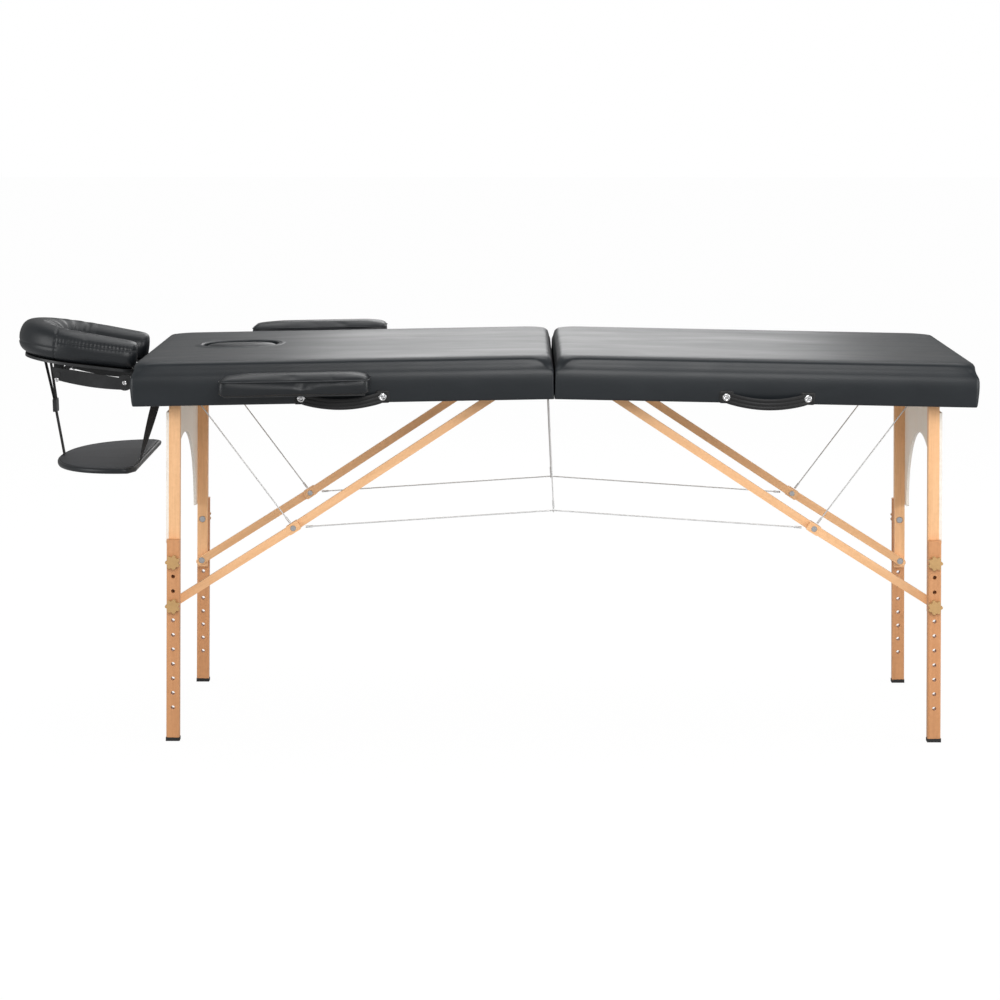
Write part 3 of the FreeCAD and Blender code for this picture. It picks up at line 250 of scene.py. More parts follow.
def build_edge_wear() -> NodeKit:
    """Mask of rubbed outer edges, broken up by noise."""
    kit = start_group("edge_wear", {"Vector": "Vector", "Amount": "Float"}, {"Mask": "Float"})
    source = kit.add("NodeGroupInput")
    shape = kit.add("ShaderNodeNewGeometry")
    speckle = kit.add("ShaderNodeTexNoise", {"Vector": source.outputs["Vector"],
                                             "Scale": 140.0, "Detail": 3.0})
    edge = kit.ramp(shape.outputs["Pointiness"], 0.52, 0.6)
    broken = kit.math("MULTIPLY", edge, speckle.outputs[0])
    goal = kit.add("NodeGroupOutput")
    kit.tree.links.new(kit.math("MULTIPLY", broken, source.outputs["Amount"]),
                       goal.inputs["Mask"])
    return kit


def build_weave() -> NodeKit:
    """Webbing: crossed ribs of a tight weave, from a length and a width coordinate."""
    kit = start_group("webbing_weave", {"Vector": "Vector", "Pitch": "Float"},
                      {"Height": "Float"})
    source = kit.add("NodeGroupInput")
    split = kit.add("ShaderNodeSeparateXYZ", {0: source.outputs["Vector"]})
    waves = []
    for index in (0, 1):
        turn = kit.math("MULTIPLY", split.outputs[index], source.outputs["Pitch"])
        waves.append(kit.math("SINE", turn))
    goal = kit.add("NodeGroupOutput")
    kit.tree.links.new(kit.math("MULTIPLY", waves[0], waves[1]), goal.inputs["Height"])
    return kit


def start_material(name: str) -> tuple[bpy.types.Material, NodeKit, bpy.types.Node]:
    """Make a material with an empty Principled surface.

    Args:
        name: Name of the material.

    Returns:
        The material, a kit over its nodes and its Principled node.
    """
    material = bpy.data.materials.new(name)
    material.use_nodes = True
    kit = NodeKit(material.node_tree)
    return material, kit, material.node_tree.nodes["Principled BSDF"]


def set_bump(kit: NodeKit, surface: bpy.types.Node, height: bpy.types.NodeSocket,
             distance: float, strength: float = 1.0,
             under: bpy.types.NodeSocket | None = None) -> bpy.types.NodeSocket:
    """Feed a height into the surface's normal.

    Args:
        kit: Kit over the material's nodes.
        surface: The Principled node.
        height: Height between 0 and 1.
        distance: Depth of the relief in metres.
        strength: Share of the relief that is used.
        under: Normal of another relief that this one lies on.

    Returns:
        The new normal.
    """
    bump = kit.add("ShaderNodeBump", {"Height": height, "Distance": distance,
                                      "Strength": strength})
    if under is not None:
        kit.tree.links.new(under, bump.inputs["Normal"])
    kit.tree.links.new(bump.outputs[0], surface.inputs["Normal"])
    return bump.outputs[0]


def set_roughness(kit: NodeKit, surface: bpy.types.Node, factor: bpy.types.NodeSocket,
                  low: float, high: float, ends: tuple[float, float] = (0.3, 0.7)) -> None:
    """Vary the surface's roughness with a factor.

    Args:
        kit: Kit over the material's nodes.
        surface: The Principled node.
        factor: What the roughness follows.
        low: Roughness where the factor is at its first end.
        high: Roughness where it is at its second end.
        ends: The two ends of the factor.
    """
    rough = kit.add("ShaderNodeMapRange", {0: factor, 1: ends[0], 2: ends[1], 3: low, 4: high})
    kit.tree.links.new(rough.outputs[0], surface.inputs["Roughness"])


def set_rubbed_color(kit: NodeKit, surface: bpy.types.Node, place: bpy.types.Node,
                     tone: bpy.types.NodeSocket, rubbed: Color, amount: float) -> None:
    """Feed a colour into the surface, with another one on its rubbed edges.

    Args:
        kit: Kit over the material's nodes.
        surface: The Principled node.
        place: The texture coordinate node.
        tone: Colour of the faces.
        rubbed: Colour of the rubbed edges.
        amount: How much the edges are rubbed, from 0 to 1.
    """
    worn = kit.add("ShaderNodeGroup", node_tree=shared_group("edge_wear", build_edge_wear))
    kit.tree.links.new(place.outputs["Object"], worn.inputs["Vector"])
    worn.inputs["Amount"].default_value = amount
    kit.tree.links.new(kit.mix(worn.outputs["Mask"], tone, rubbed),
                       surface.inputs["Base Color"])


# Finishes.


@dataclass(frozen=True)
class Vinyl:
    """Black upholstery vinyl with a pressed texture and a cloudy sheen."""

    name: str
    color: Color
    roughness: float = 0.42
    pebble: float = 620.0
    dimple_depth: float = 0.0005
    specular: float = 0.42

    def material(self) -> bpy.types.Material:
        """Build the finish.

        Returns:
            The material.
        """
        material, kit, surface = start_material(self.name)
        place = kit.add("ShaderNodeTexCoord")
        skin = kit.add("ShaderNodeGroup", node_tree=shared_group("vinyl_pebble", build_pebble))
        kit.tree.links.new(place.outputs["Object"], skin.inputs["Vector"])
        skin.inputs["Scale"].default_value = self.pebble
        light = tuple(min(1.0, c * 1.5 + 0.002) for c in self.color)
        tone = kit.mix(kit.ramp(skin.outputs["Sheen"], 0.3, 0.75), self.color, light)
        kit.tree.links.new(tone, surface.inputs["Base Color"])
        set_roughness(kit, surface, skin.outputs["Sheen"], self.roughness - 0.04,
                      self.roughness + 0.07)
        surface.inputs["Specular IOR Level"].default_value = self.specular
        soft = set_bump(kit, surface, skin.outputs["Dimple"], self.dimple_depth)
        set_bump(kit, surface, skin.outputs["Height"], 0.00012, 0.35, soft)
        return material


@dataclass(frozen=True)
class Wood:
    """Lacquered wood with grain along the piece and lightly rubbed edges."""

    name: str
    light: Color
    dark: Color
    grain: Grain = Grain.UPRIGHT
    roughness: float = 0.42
    contrast: float = 1.0
    plies: bool = False

    def material(self) -> bpy.types.Material:
        """Build the finish.

        Returns:
            The material.
        """
        material, kit, surface = start_material(self.name)
        place = kit.add("ShaderNodeTexCoord")
        turned = kit.add("ShaderNodeMapping", {0: place.outputs["Object"],
                                               2: (0.0, math.radians(-self.grain.value), 0.0)})
        figure = kit.add("ShaderNodeGroup", node_tree=shared_group("wood_grain", build_grain))
        kit.tree.links.new(turned.outputs[0], figure.inputs["Vector"])
        figure.inputs["Contrast"].default_value = self.contrast
        tone = kit.mix(figure.outputs["Figure"], self.dark, self.light)
        warm = tuple(min(1.0, c * k) for c, k in zip(self.light, (1.03, 0.93, 0.84)))
        drift = kit.ramp(figure.outputs["Drift"], 0.42, 0.75)
        tone = kit.mix(kit.math("MULTIPLY", drift, 0.55), tone, warm)
        pore = tuple(c * 0.55 for c in self.dark)
        hidden = kit.math("MULTIPLY", kit.math("SUBTRACT", 1.0, figure.outputs["Pores"]), 0.16)
        tone = kit.mix(hidden, tone, pore)
        if self.plies:
            tone = self.ply_edges(kit, place, tone)
        rubbed = tuple(min(1.0, c * 1.12 + 0.02) for c in self.light)
        set_rubbed_color(kit, surface, place, tone, rubbed, 0.5)
        set_roughness(kit, surface, figure.outputs["Figure"], self.roughness + 0.08,
                      self.roughness, (0.0, 1.0))
        surface.inputs["Coat Weight"].default_value = 0.12
        surface.inputs["Coat Roughness"].default_value = 0.3
        set_bump(kit, surface, figure.outputs["Pores"], 0.0001, 0.5)
        return material

    def ply_edges(self, kit: NodeKit, place: bpy.types.Node,
                  tone: bpy.types.NodeSocket) -> bpy.types.NodeSocket:
        """Darken the thin edges into plies.

        Args:
            kit: Kit over the material's nodes.
            place: The texture coordinate node.
            tone: Colour of the faces.

        Returns:
            The colour with layered edges.
        """
        split = kit.add("ShaderNodeSeparateXYZ", {0: place.outputs["Normal"]})
        facing = kit.math("ABSOLUTE", split.outputs[0])
        edge = kit.math("LESS_THAN", facing, 0.7)
        along = kit.add("ShaderNodeSeparateXYZ", {0: place.outputs["Object"]})
        wave = kit.math("SINE", kit.math("MULTIPLY", along.outputs[0], PLY_WAVES))
        band = kit.math("GREATER_THAN", wave, 0.0)
        dark = tuple(c * 0.62 for c in self.dark)
        layered = kit.mix(band, dark, self.dark)
        return kit.mix(edge, tone, layered)


@dataclass(frozen=True)
class Metal:
    """Bare or painted metal with fine scratches and rubbed edges."""

    name: str
    color: Color
    roughness: float = 0.3
    metallic: float = 1.0
    worn: Color = (0.5, 0.5, 0.5)

    def material(self) -> bpy.types.Material:
        """Build the finish.

        Returns:
            The material.
        """
        material, kit, surface = start_material(self.name)
        place = kit.add("ShaderNodeTexCoord")
        scratch = kit.add("ShaderNodeMapping", {0: place.outputs["Object"],
                                                3: (90.0, 700.0, 400.0)})
        lines = kit.add("ShaderNodeTexNoise", {"Vector": scratch.outputs[0], "Scale": 1.0,
                                               "Detail": 4.0})
        dull = tuple(c * 0.82 for c in self.color)
        tone = kit.mix(lines.outputs[0], dull, self.color)
        set_rubbed_color(kit, surface, place, tone, self.worn, 0.7)
        surface.inputs["Metallic"].default_value = self.metallic
        set_roughness(kit, surface, lines.outputs[0], self.roughness - 0.05,
                      self.roughness + 0.1)
        set_bump(kit, surface, lines.outputs[0], 0.00005, 0.4)
        return material


@dataclass(frozen=True)
class Moulded:
    """Moulded plastic or rubber with a fine spark texture."""

    name: str
    color: Color
    roughness: float = 0.5
    speck: float = 900.0

    def material(self) -> bpy.types.Material:
        """Build the finish.

        Returns:
            The material.
        """
        material, kit, surface = start_material(self.name)
        place = kit.add("ShaderNodeTexCoord")
        grain = kit.add("ShaderNodeTexNoise", {"Vector": place.outputs["Object"],
                                               "Scale": self.speck, "Detail": 2.0})
        cloud = kit.add("ShaderNodeTexNoise", {"Vector": place.outputs["Object"],
                                               "Scale": 24.0, "Detail": 3.0})
        light = tuple(min(1.0, c * 1.15 + 0.006) for c in self.color)
        tone = kit.mix(kit.ramp(cloud.outputs[0], 0.35, 0.7), self.color, light)
        rubbed = tuple(min(1.0, c * 1.4 + 0.03) for c in self.color)
        set_rubbed_color(kit, surface, place, tone, rubbed, 0.35)
        set_roughness(kit, surface, cloud.outputs[0], self.roughness - 0.04,
                      self.roughness + 0.06)
        set_bump(kit, surface, grain.outputs[0], 0.00012, 0.4)
        return material


@dataclass(frozen=True)
class Woven:
    """Woven webbing or stranded cable, patterned along its own length, with painted shade
    darkening the hollows between the ribs.
    """

    name: str
    color: Color
    roughness: float = 0.7
    metallic: float = 0.0
    pitch: float = 1.0
    depth: float = 0.0003

    def material(self) -> bpy.types.Material:
        """Build the finish.

        Returns:
            The material.
        """
        material, kit, surface = start_material(self.name)
        place = kit.add("ShaderNodeTexCoord")
        weave = kit.add("ShaderNodeGroup", node_tree=shared_group("webbing_weave", build_weave))
        kit.tree.links.new(place.outputs["UV"], weave.inputs["Vector"])
        weave.inputs["Pitch"].default_value = self.pitch
        height = kit.ramp(weave.outputs["Height"], -1.0, 1.0)
        # Painted shade: the colour darkens in the low parts of the weave, the hollows between
        # ribs and strands.
        dark = tuple(c * 0.55 for c in self.color)
        kit.tree.links.new(kit.mix(height, dark, self.color), surface.inputs["Base Color"])
        surface.inputs["Metallic"].default_value = self.metallic
        fuzz = kit.add("ShaderNodeTexNoise", {"Vector": place.outputs["Object"],
                                              "Scale": 500.0})
        set_roughness(kit, surface, fuzz.outputs[0], self.roughness - 0.08,
                      self.roughness + 0.08)
        set_bump(kit, surface, height, self.depth, 0.8)
        return material


class Finishes:
    """Every finish on the table, built once."""

    def __init__(self) -> None:
        """Build all the materials."""
        self.bed_vinyl = Vinyl("bed_vinyl", (0.007, 0.0095, 0.012), 0.38).material()
        self.pad_vinyl = Vinyl("pad_vinyl", (0.0065, 0.008, 0.0098), 0.38, 700.0).material()
        # Shelf top: the black vinyl made lighter as painted light on the shelf's upward face.
        self.shelf_top_with_painted_light = Vinyl("shelf_top_vinyl", (0.024, 0.0255, 0.029), 0.5).material()
        self.leather = Vinyl("handle_leather", (0.004, 0.004, 0.0044), 0.5, 900.0).material()
        beech = ((0.84, 0.50, 0.26), (0.66, 0.35, 0.15))
        warm = ((0.60, 0.29, 0.125), (0.44, 0.19, 0.07))
        self.leg_beech = Wood("leg_beech", *beech).material()
        self.warm_beech = Wood("extension_beech", *warm, contrast=1.05).material()
        self.head_strut = Wood("head_strut_beech", *beech, grain=Grain.HEAD_STRUT).material()
        self.foot_strut = Wood("foot_strut_beech", *beech, grain=Grain.FOOT_STRUT).material()
        self.deck_ply = Wood("deck_plywood", (0.80, 0.66, 0.48), (0.66, 0.50, 0.33),
                             grain=Grain.ALONG_BED, roughness=0.6).material()
        # Apron plywood: pale birch, with its colour raised almost to white as painted light for
        # the strong light that falls on the apron.
        self.arch_ply_with_painted_light = Wood("arch_plywood", (0.95, 0.89, 0.82), (0.90, 0.81, 0.71),
                             roughness=0.5, contrast=0.9, plies=True).material()
        self.steel = Metal("zinc_steel", (0.66, 0.67, 0.69)).material()
        self.bright = Metal("nickel_rivet", (0.83, 0.83, 0.84), 0.18).material()
        self.black_steel = Metal("black_steel", (0.005, 0.005, 0.0055), 0.4, 0.0,
                                 (0.06, 0.06, 0.06)).material()
        self.knob = Moulded("tan_plastic", (0.42, 0.25, 0.095), 0.5).material()
        self.rubber = Moulded("black_rubber", (0.008, 0.008, 0.008), 0.75, 600.0).material()
        self.plastic = Moulded("black_plastic", (0.006, 0.0065, 0.0075), 0.42).material()
        self.webbing = Woven("black_webbing", (0.007, 0.007, 0.0075), 0.75,
                             pitch=2600.0).material()
        self.cable = Woven("stranded_cable", (0.82, 0.82, 0.82), 0.4, 0.55,
                           pitch=1400.0, depth=0.00015).material()
        self.thread = Moulded("seam_thread", (0.02, 0.021, 0.023), 0.7, 1200.0).material()


# Mesh building.


def new_piece(name: str, mesh_data: bmesh.types.BMesh, finish: bpy.types.Material,
              smooth_angle: float = 40.0) -> bpy.types.Object:
    """Turn a bmesh into a named, smooth-shaded piece.

    Args:
        name: Name of the piece.
        mesh_data: Its mesh, which is freed.
        finish: Its material.
        smooth_angle: Edges sharper than this many degrees stay sharp.

    Returns:
        The object.
    """
    bmesh.ops.recalc_face_normals(mesh_data, faces=mesh_data.faces)
    mesh = bpy.data.meshes.new(name)
    mesh_data.to_mesh(mesh)
    mesh_data.free()
    mesh.materials.append(finish)
    piece = bpy.data.objects.new(name, mesh)
    bpy.context.scene.collection.objects.link(piece)
    mesh.shade_smooth()
    mesh.set_sharp_from_angle(angle=math.radians(smooth_angle))
    return piece


def skin_rings(rings: Sequence[Ring], closed_ends: bool = True,
               looped: bool = False) -> bmesh.types.BMesh:
    """Join rings of equal count into one skin with a length and round UV map.

    Args:
        rings: The rings, each a closed loop of points.
        closed_ends: Whether the first and last rings are capped.
        looped: Whether the last ring joins the first.

    Returns:
        The mesh.
    """
    data = bmesh.new()
    rows = [[data.verts.new(p) for p in ring] for ring in rings]
    uv = data.loops.layers.uv.new("UVMap")
    count = len(rows[0])
    travel = [0.0]
    for a, b in zip(rings, rings[1:]):
        travel.append(travel[-1] + (b[0] - a[0]).length)
    round_step = [0.0]
    for index in range(count):
        step = (rings[0][(index + 1) % count] - rings[0][index]).length
        round_step.append(round_step[-1] + step)
    pairs = list(range(len(rows) - 1)) + ([len(rows) - 1] if looped else [])
    for i in pairs:
        j = (i + 1) % len(rows)
        for k in range(count):
            m = (k + 1) % count
            face = data.faces.new((rows[i][k], rows[i][m], rows[j][m], rows[j][k]))
            far = travel[j] if j else travel[i] + 0.01
            spots = ((travel[i], k), (travel[i], k + 1), (far, k + 1), (far, k))
            for loop, (length, index) in zip(face.loops, spots):
                loop[uv].uv = (length, round_step[index])
    if closed_ends and not looped:
        data.faces.new(list(reversed(rows[0])))
        data.faces.new(rows[-1])
    return data


def rounded_outline(x0: float, x1: float, y0: float, y1: float, radius: float,
                    long_steps: int = 30, short_steps: int = 24, corner_steps: int = 7,
                    low_radius: float | None = None) -> list[tuple[float, float]]:
    """Points round a rectangle with rounded corners, always in the same order.

    Args:
        x0: Lowest x.
        x1: Highest x.
        y0: Lowest y.
        y1: Highest y.
        radius: Corner radius.
        long_steps: Steps along each x side.
        short_steps: Steps along each y side.
        corner_steps: Steps round each corner.
        low_radius: Radius of the two corners at x0, where it differs.

    Returns:
        The points.
    """
    r = max(0.01, min(radius, (x1 - x0) / 2 - 0.01, (y1 - y0) / 2 - 0.01))
    q = r if low_radius is None else min(r, low_radius)
    corners = ((x1 - r, y0 + r, r, -90), (x1 - r, y1 - r, r, 0), (x0 + q, y1 - q, q, 90),
               (x0 + q, y0 + q, q, 180))
    points: list[tuple[float, float]] = []
    for index, (cx, cy, size, start) in enumerate(corners):
        for step in range(corner_steps + 1):
            angle = math.radians(start + 90.0 * step / corner_steps)
            points.append((cx + size * math.cos(angle), cy + size * math.sin(angle)))
        nx, ny, size, turn = corners[(index + 1) % 4]
        begin = points[-1]
        angle = math.radians(turn)
        finish = (nx + size * math.cos(angle), ny + size * math.sin(angle))
        steps = short_steps if index % 2 == 0 else long_steps
        for step in range(1, steps):
            share = step / steps
            points.append((begin[0] + (finish[0] - begin[0]) * share,
                           begin[1] + (finish[1] - begin[1]) * share))
    return points


def tube(name: str, path: Sequence[Vector], radius: Callable[[float], float] | float,
         finish: bpy.types.Material, around: int = 12, looped: bool = False) -> bpy.types.Object:
    """Round tube along a path.

    Args:
        name: Name of the piece.
        path: Points in metres.
        radius: Radius in metres, or a function of the share of the length.
        finish: Its material.
        around: Points round the tube.
        looped: Whether the path closes on itself.

    Returns:
        The piece.
    """
    rings = []
    last_side = Vector((0.0, 0.0, 1.0))
    total = len(path)
    for index, point in enumerate(path):
        if looped:
            ahead, behind = path[(index + 1) % total], path[index - 1]
        else:
            ahead, behind = path[min(index + 1, total - 1)], path[max(index - 1, 0)]
        way = (ahead - behind).normalized()
        side = way.cross(last_side)
        if side.length < 1e-4:
            side = way.orthogonal()
        side.normalize()
        up = side.cross(way).normalized()
        last_side = up
        size = radius(index / max(1, total - 1)) if callable(radius) else radius
        rings.append([point + side * size * math.cos(a) + up * size * math.sin(a)
                      for a in (2 * math.pi * k / around for k in range(around))])
    return new_piece(name, skin_rings(rings, looped=looped), finish)


def ribbon(name: str, path: Sequence[Vector], across: Sequence[Vector], width: float,
           thickness: float, finish: bpy.types.Material) -> bpy.types.Object:
    """Flat webbing along a path, with thin rounded edges.

    Args:
        name: Name of the piece.
        path: Points of its middle line, in metres.
        across: Direction of its width at each point.
        width: Width in metres.
        thickness: Thickness in metres.
        finish: Its material.

    Returns:
        The piece.
    """
    rings = []
    total = len(path)
    for index, point in enumerate(path):
        way = path[min(index + 1, total - 1)] - path[max(index - 1, 0)]
        wide = across[index].normalized()
        thin = way.cross(wide).normalized()
        w, t = wide * width / 2, thin * thickness / 2
        steps = 8
        ring = [point + w * (2 * k / steps - 1) + t for k in range(steps + 1)]
        ring.append(point + w * 1.02)
        ring += [point + w * (1 - 2 * k / steps) - t for k in range(steps + 1)]
        ring.append(point - w * 1.02)
        rings.append(ring)
    return new_piece(name, skin_rings(rings), finish)


def span(a: Vector, b: Vector, steps: int) -> list[Vector]:
    """Evenly spaced points on the straight line between two ends, with both ends."""
    return [a.lerp(b, index / steps) for index in range(steps + 1)]


def rivet(name: str, centre: Vector, way: Vector, radius: float, height: float,
          finish: bpy.types.Material) -> bpy.types.Object:
    """Domed rivet head with a rolled rim and a sunk eye.

    Args:
        name: Name of the piece.
        centre: Middle of its seat, in metres.
        way: Direction that it faces.
        radius: Radius in metres.
        height: Height in metres.
        finish: Its material.

    Returns:
        The piece.
    """
    profile = ((1.0, 0.0), (1.03, 0.3), (0.95, 0.75), (0.78, 1.0), (0.6, 0.95), (0.45, 0.6),
               (0.4, 0.35), (0.12, 0.45))
    z = way.normalized()
    x = z.orthogonal().normalized()
    y = z.cross(x)
    rings = []
    for share, lift in profile:
        rings.append([centre + (x * math.cos(a) + y * math.sin(a)) * radius * share
                      + z * height * lift for a in (math.tau * k / 24 for k in range(24))])
    return new_piece(name, skin_rings(rings), finish, 60.0)


def puff(piece: bpy.types.Object, voxel: float, pressure: float, cap: float,
         floor_way: Vector, floor_level: float) -> None:
    """Swell a closed pad as cloth under pressure and keep its result in the mesh.

    Args:
        piece: The pad, slightly smaller than its final size.
        voxel: Remesh size in metres.
        pressure: Cloth pressure.
        cap: Furthest that a point may move, in metres.
        floor_way: Upward direction of the seat that the pad lies on.
        floor_level: Level of the seat along that direction; points there stay put.
    """
    scene = bpy.context.scene
    remesh = piece.modifiers.new("even_mesh", "REMESH")
    remesh.mode = "VOXEL"
    remesh.voxel_size = voxel
    depsgraph = bpy.context.evaluated_depsgraph_get()
    even = bpy.data.meshes.new_from_object(piece.evaluated_get(depsgraph))
    piece.modifiers.clear()
    piece.data = even
    rest = [v.co.copy() for v in even.vertices]
    pinned = piece.vertex_groups.new(name="seat")
    held = [i for i, co in enumerate(rest) if co.dot(floor_way) < floor_level + SEAT_BAND]
    pinned.add(held, 1.0, "REPLACE")
    cloth = piece.modifiers.new("cloth", "CLOTH")
    cloth.settings.quality = 5
    cloth.settings.mass = 0.4
    cloth.settings.tension_stiffness = 12.0
    cloth.settings.compression_stiffness = 12.0
    cloth.settings.bending_stiffness = 0.6
    cloth.settings.use_pressure = True
    cloth.settings.uniform_pressure_force = pressure
    cloth.settings.vertex_group_mass = "seat"
    cloth.settings.effector_weights.gravity = 0.0
    cloth.point_cache.frame_start = 1
    cloth.point_cache.frame_end = CLOTH_FRAMES
    for number in range(1, CLOTH_FRAMES + 1):
        scene.frame_set(number)
    depsgraph = bpy.context.evaluated_depsgraph_get()
    swollen = piece.evaluated_get(depsgraph).to_mesh()
    moved = [v.co.copy() for v in swollen.vertices]
    piece.evaluated_get(depsgraph).to_mesh_clear()
    piece.modifiers.clear()
    for vertex, before, after in zip(piece.data.vertices, rest, moved):
        step = after - before
        if step.length > cap:
            step = step.normalized() * cap
        vertex.co = before + step
    scene.frame_set(1)
    smooth = piece.modifiers.new("smooth", "SUBSURF")
    smooth.levels = 1
    depsgraph = bpy.context.evaluated_depsgraph_get()
    finer = bpy.data.meshes.new_from_object(piece.evaluated_get(depsgraph))
    piece.modifiers.clear()
    piece.data = finer
    finer.shade_smooth()


def dress(node: str, finish: bpy.types.Material) -> None:
    """Give a CAD node its finish in all its material slots."""
    shown = frame["nodes"][node]
    if not shown.material_slots:
        shown.data.materials.append(finish)
    for slot in shown.material_slots:
        slot.material = finish


# Sub-assemblies.


@dataclass
class BedHalf:
    """Upholstered top of one half: crowned cushion and vinyl wrapped round the rails."""

    end: End
    finishes: Finishes
    length: float = 915.0
    width: float = 711.0
    start: float = 1.0
    rail_lift: float = 1.5
    seat: float = 62.7
    top: float = 99.6
    wrap: float = 14.0
    hole_x: float = 707.0
    hole_length: float = 172.0
    hole_width: float = 150.0

    def profile(self) -> list[tuple[float, float, float]]:
        """Inset, level and corner radius of each ring, from under the rail to the top."""
        low = self.rail_lift
        return [
            (1.85, self.seat, 5.0), (1.85, 40.0, 5.0), (1.85, 12.0, 5.0),
            (1.85, low - 0.25, 5.0), (self.wrap, low - 0.3, 5.0),
            (self.wrap, low - 1.0, 5.0), (5.0, low - 1.1, 5.0), (1.6, low - 0.6, 5.0),
            (0.4, low + 1.6, 5.0), (-0.6, low + 7.0, 6.5), (-1.6, low + 18.0, 8.0),
            (-2.6, low + 32.0, 9.5), (-2.8, low + 44.0, 10.0), (-2.2, low + 54.0, 9.0),
            (-0.8, low + 61.6, 8.0), (1.0, low + 66.0, 12.0), (3.2, low + 71.0, 18.0),
            (4.8, low + 77.0, 23.0),
            (5.4, low + 85.0, 30.0), (8.0, low + 89.8, 36.0), (13.0, low + 92.8, 41.0),
            (22.0, low + 94.4, 45.0), (36.0, low + 95.4, 48.0),
        ]

    def hinge_edge(self, inset: float, level: float) -> float:
        """Where a ring ends beside the centre hinges, rounded towards the top."""
        share = max(0.0, min(0.97, (level - 65.0) / 32.5))
        return self.start - 0.6 + max(24.0 * (1 - math.sqrt(1 - share * share)),
                                      0.8 * inset if level > 66.0 else 0.0)

    def ring(self, inset: float, level: float, radius: float) -> Ring:
        """Points of one ring in the row frame."""
        half = self.width / 2 - inset
        x0 = self.hinge_edge(inset, level)
        outline = rounded_outline(x0, self.length - inset, -half, half, radius,
                                  low_radius=5.0 if level < 66.0 else radius)
        slack = max(0.0, min(1.0, (level - 10.0) / 40.0)) if inset < 20.0 else 1.0
        points = []
        for x, y in outline:
            drift = noise.noise(Vector((x * 0.008, y * 0.009, 3.1 * self.end.value)))
            out = drift * 0.9 * slack
            if abs(y) > half - 0.5:
                y += math.copysign(out, y)
            points.append(HALF.point(self.end, x, y, level))
        return points

    def crown(self) -> list[Ring]:
        """Rings of the crowned top, shrinking to the middle."""
        inset, level, radius = self.profile()[-1]
        half = self.width / 2 - inset
        middle = (self.start + self.length) / 2
        outline = rounded_outline(self.hinge_edge(inset, level), self.length - inset, -half,
                                  half, radius)
        rings = []
        for share in (0.96, 0.91, 0.84, 0.75, 0.64, 0.52, 0.4, 0.28, 0.16, 0.05):
            ring = []
            for x, y in outline:
                px = middle + (x - middle) * share
                py = y * share
                rise = (self.top - level) * (1 - share ** 2.4)
                wave = noise.noise(Vector((px * 0.007, py * 0.012, 1.7))) * 0.5
                ring.append(HALF.point(self.end, px, py, level + rise + wave * (1 - share)))
            rings.append(ring)
        return rings

    def upholstery(self) -> bpy.types.Object:
        """Build the wrapped cushion.

        Returns:
            The piece, riding on its half.
        """
        rings = [self.ring(*row) for row in self.profile()] + self.crown()
        name = self.end.name.lower()
        piece = new_piece(name + "_upholstery", skin_rings(rings), self.finishes.bed_vinyl, 60.0)
        if self.end is End.HEAD:
            self.cut_face_hole(piece)
        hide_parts(name + "_cushion")
        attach(piece, name + "_panel")
        return piece

    def oval(self, grow: float, level: float, steps: int = 72, lean: float = 0.0) -> Ring:
        """Oval round the face hole.

        Args:
            grow: Millimetres added all round.
            level: Height above the hinge line.
            steps: Points round the oval.
            lean: Drop towards the far side, in millimetres for each millimetre across.

        Returns:
            The ring in the row frame.
        """
        points = []
        for index in range(steps):
            angle = math.tau * index / steps
            c, s = math.cos(angle), math.sin(angle)
            x = self.hole_x + (self.hole_length / 2 + grow) * math.copysign(abs(c) ** 0.92, c)
            y = (self.hole_width / 2 + grow) * math.copysign(abs(s) ** 0.92, s)
            points.append(HALF.point(End.HEAD, x, y, level - y * lean))
        return points

    def cut_face_hole(self, piece: bpy.types.Object) -> None:
        """Cut the oval through the cushion.

        Args:
            piece: The upholstery of the head half.
        """
        rings = [self.oval(0.0, self.seat - 8.0), self.oval(0.0, self.top + 20.0)]
        cutter = new_piece("face_hole_cutter", skin_rings(rings), self.finishes.bed_vinyl)
        cut = piece.modifiers.new("face_hole", "BOOLEAN")
        cut.object = cutter
        cut.operation = "DIFFERENCE"
        cut.solver = "EXACT"
        depsgraph = bpy.context.evaluated_depsgraph_get()
        mesh = bpy.data.meshes.new_from_object(piece.evaluated_get(depsgraph))
        piece.modifiers.clear()
        piece.data = mesh
        bpy.data.objects.remove(cutter)
        mesh.shade_smooth()
        mesh.set_sharp_from_angle(angle=math.radians(50.0))

    def hole_lip(self) -> bpy.types.Object:
        """Rounded vinyl lip round the face hole.

        Returns:
            The piece, riding on the head half.
        """
        rows = ((1.0, self.top - 16.0), (-0.3, self.top - 8.0), (0.6, self.top - 3.0),
                (3.2, self.top + 0.2), (7.5, self.top + 1.0), (14.0, self.top - 0.2),
                (24.0, self.top - 2.4), (22.0, self.top - 6.0), (4.0, self.top - 14.0))
        rings = [self.oval(grow, level) for grow, level in rows]
        piece = new_piece("face_hole_lip", skin_rings(rings, looped=True),
                          self.finishes.bed_vinyl, 80.0)
        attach(piece, "head_panel")
        return piece

    def plug(self) -> bpy.types.Object:
        """Padded plug of the face hole, with a crowned top and a waist seam.

        Returns:
            The piece, riding on the plug's body.
        """
        rows = ((-8.0, self.seat + 0.3), (-2.4, self.seat + 0.6), (-1.8, self.seat + 4.0),
                (-1.6, self.top - 30.0), (-2.4, self.top - 29.0), (-1.6, self.top - 28.0),
                (-2.0, self.top - 16.0), (-3.6, self.top - 10.0), (-6.4, self.top - 5.6),
                (-10.5, self.top - 2.4), (-17.0, self.top - 0.2), (-27.0, self.top + 1.2),
                (-42.0, self.top + 2.0), (-58.0, self.top + 2.4), (-70.0, self.top + 2.5))
        rings = [self.oval(grow, level, lean=0.058 if level > self.top - 20.0 else 0.0)
                 for grow, level in rows]
        piece = new_piece("face_plug_pad", skin_rings(rings), self.finishes.pad_vinyl, 70.0)
        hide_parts("face_plug")
        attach(piece, "face_plug")
        return piece

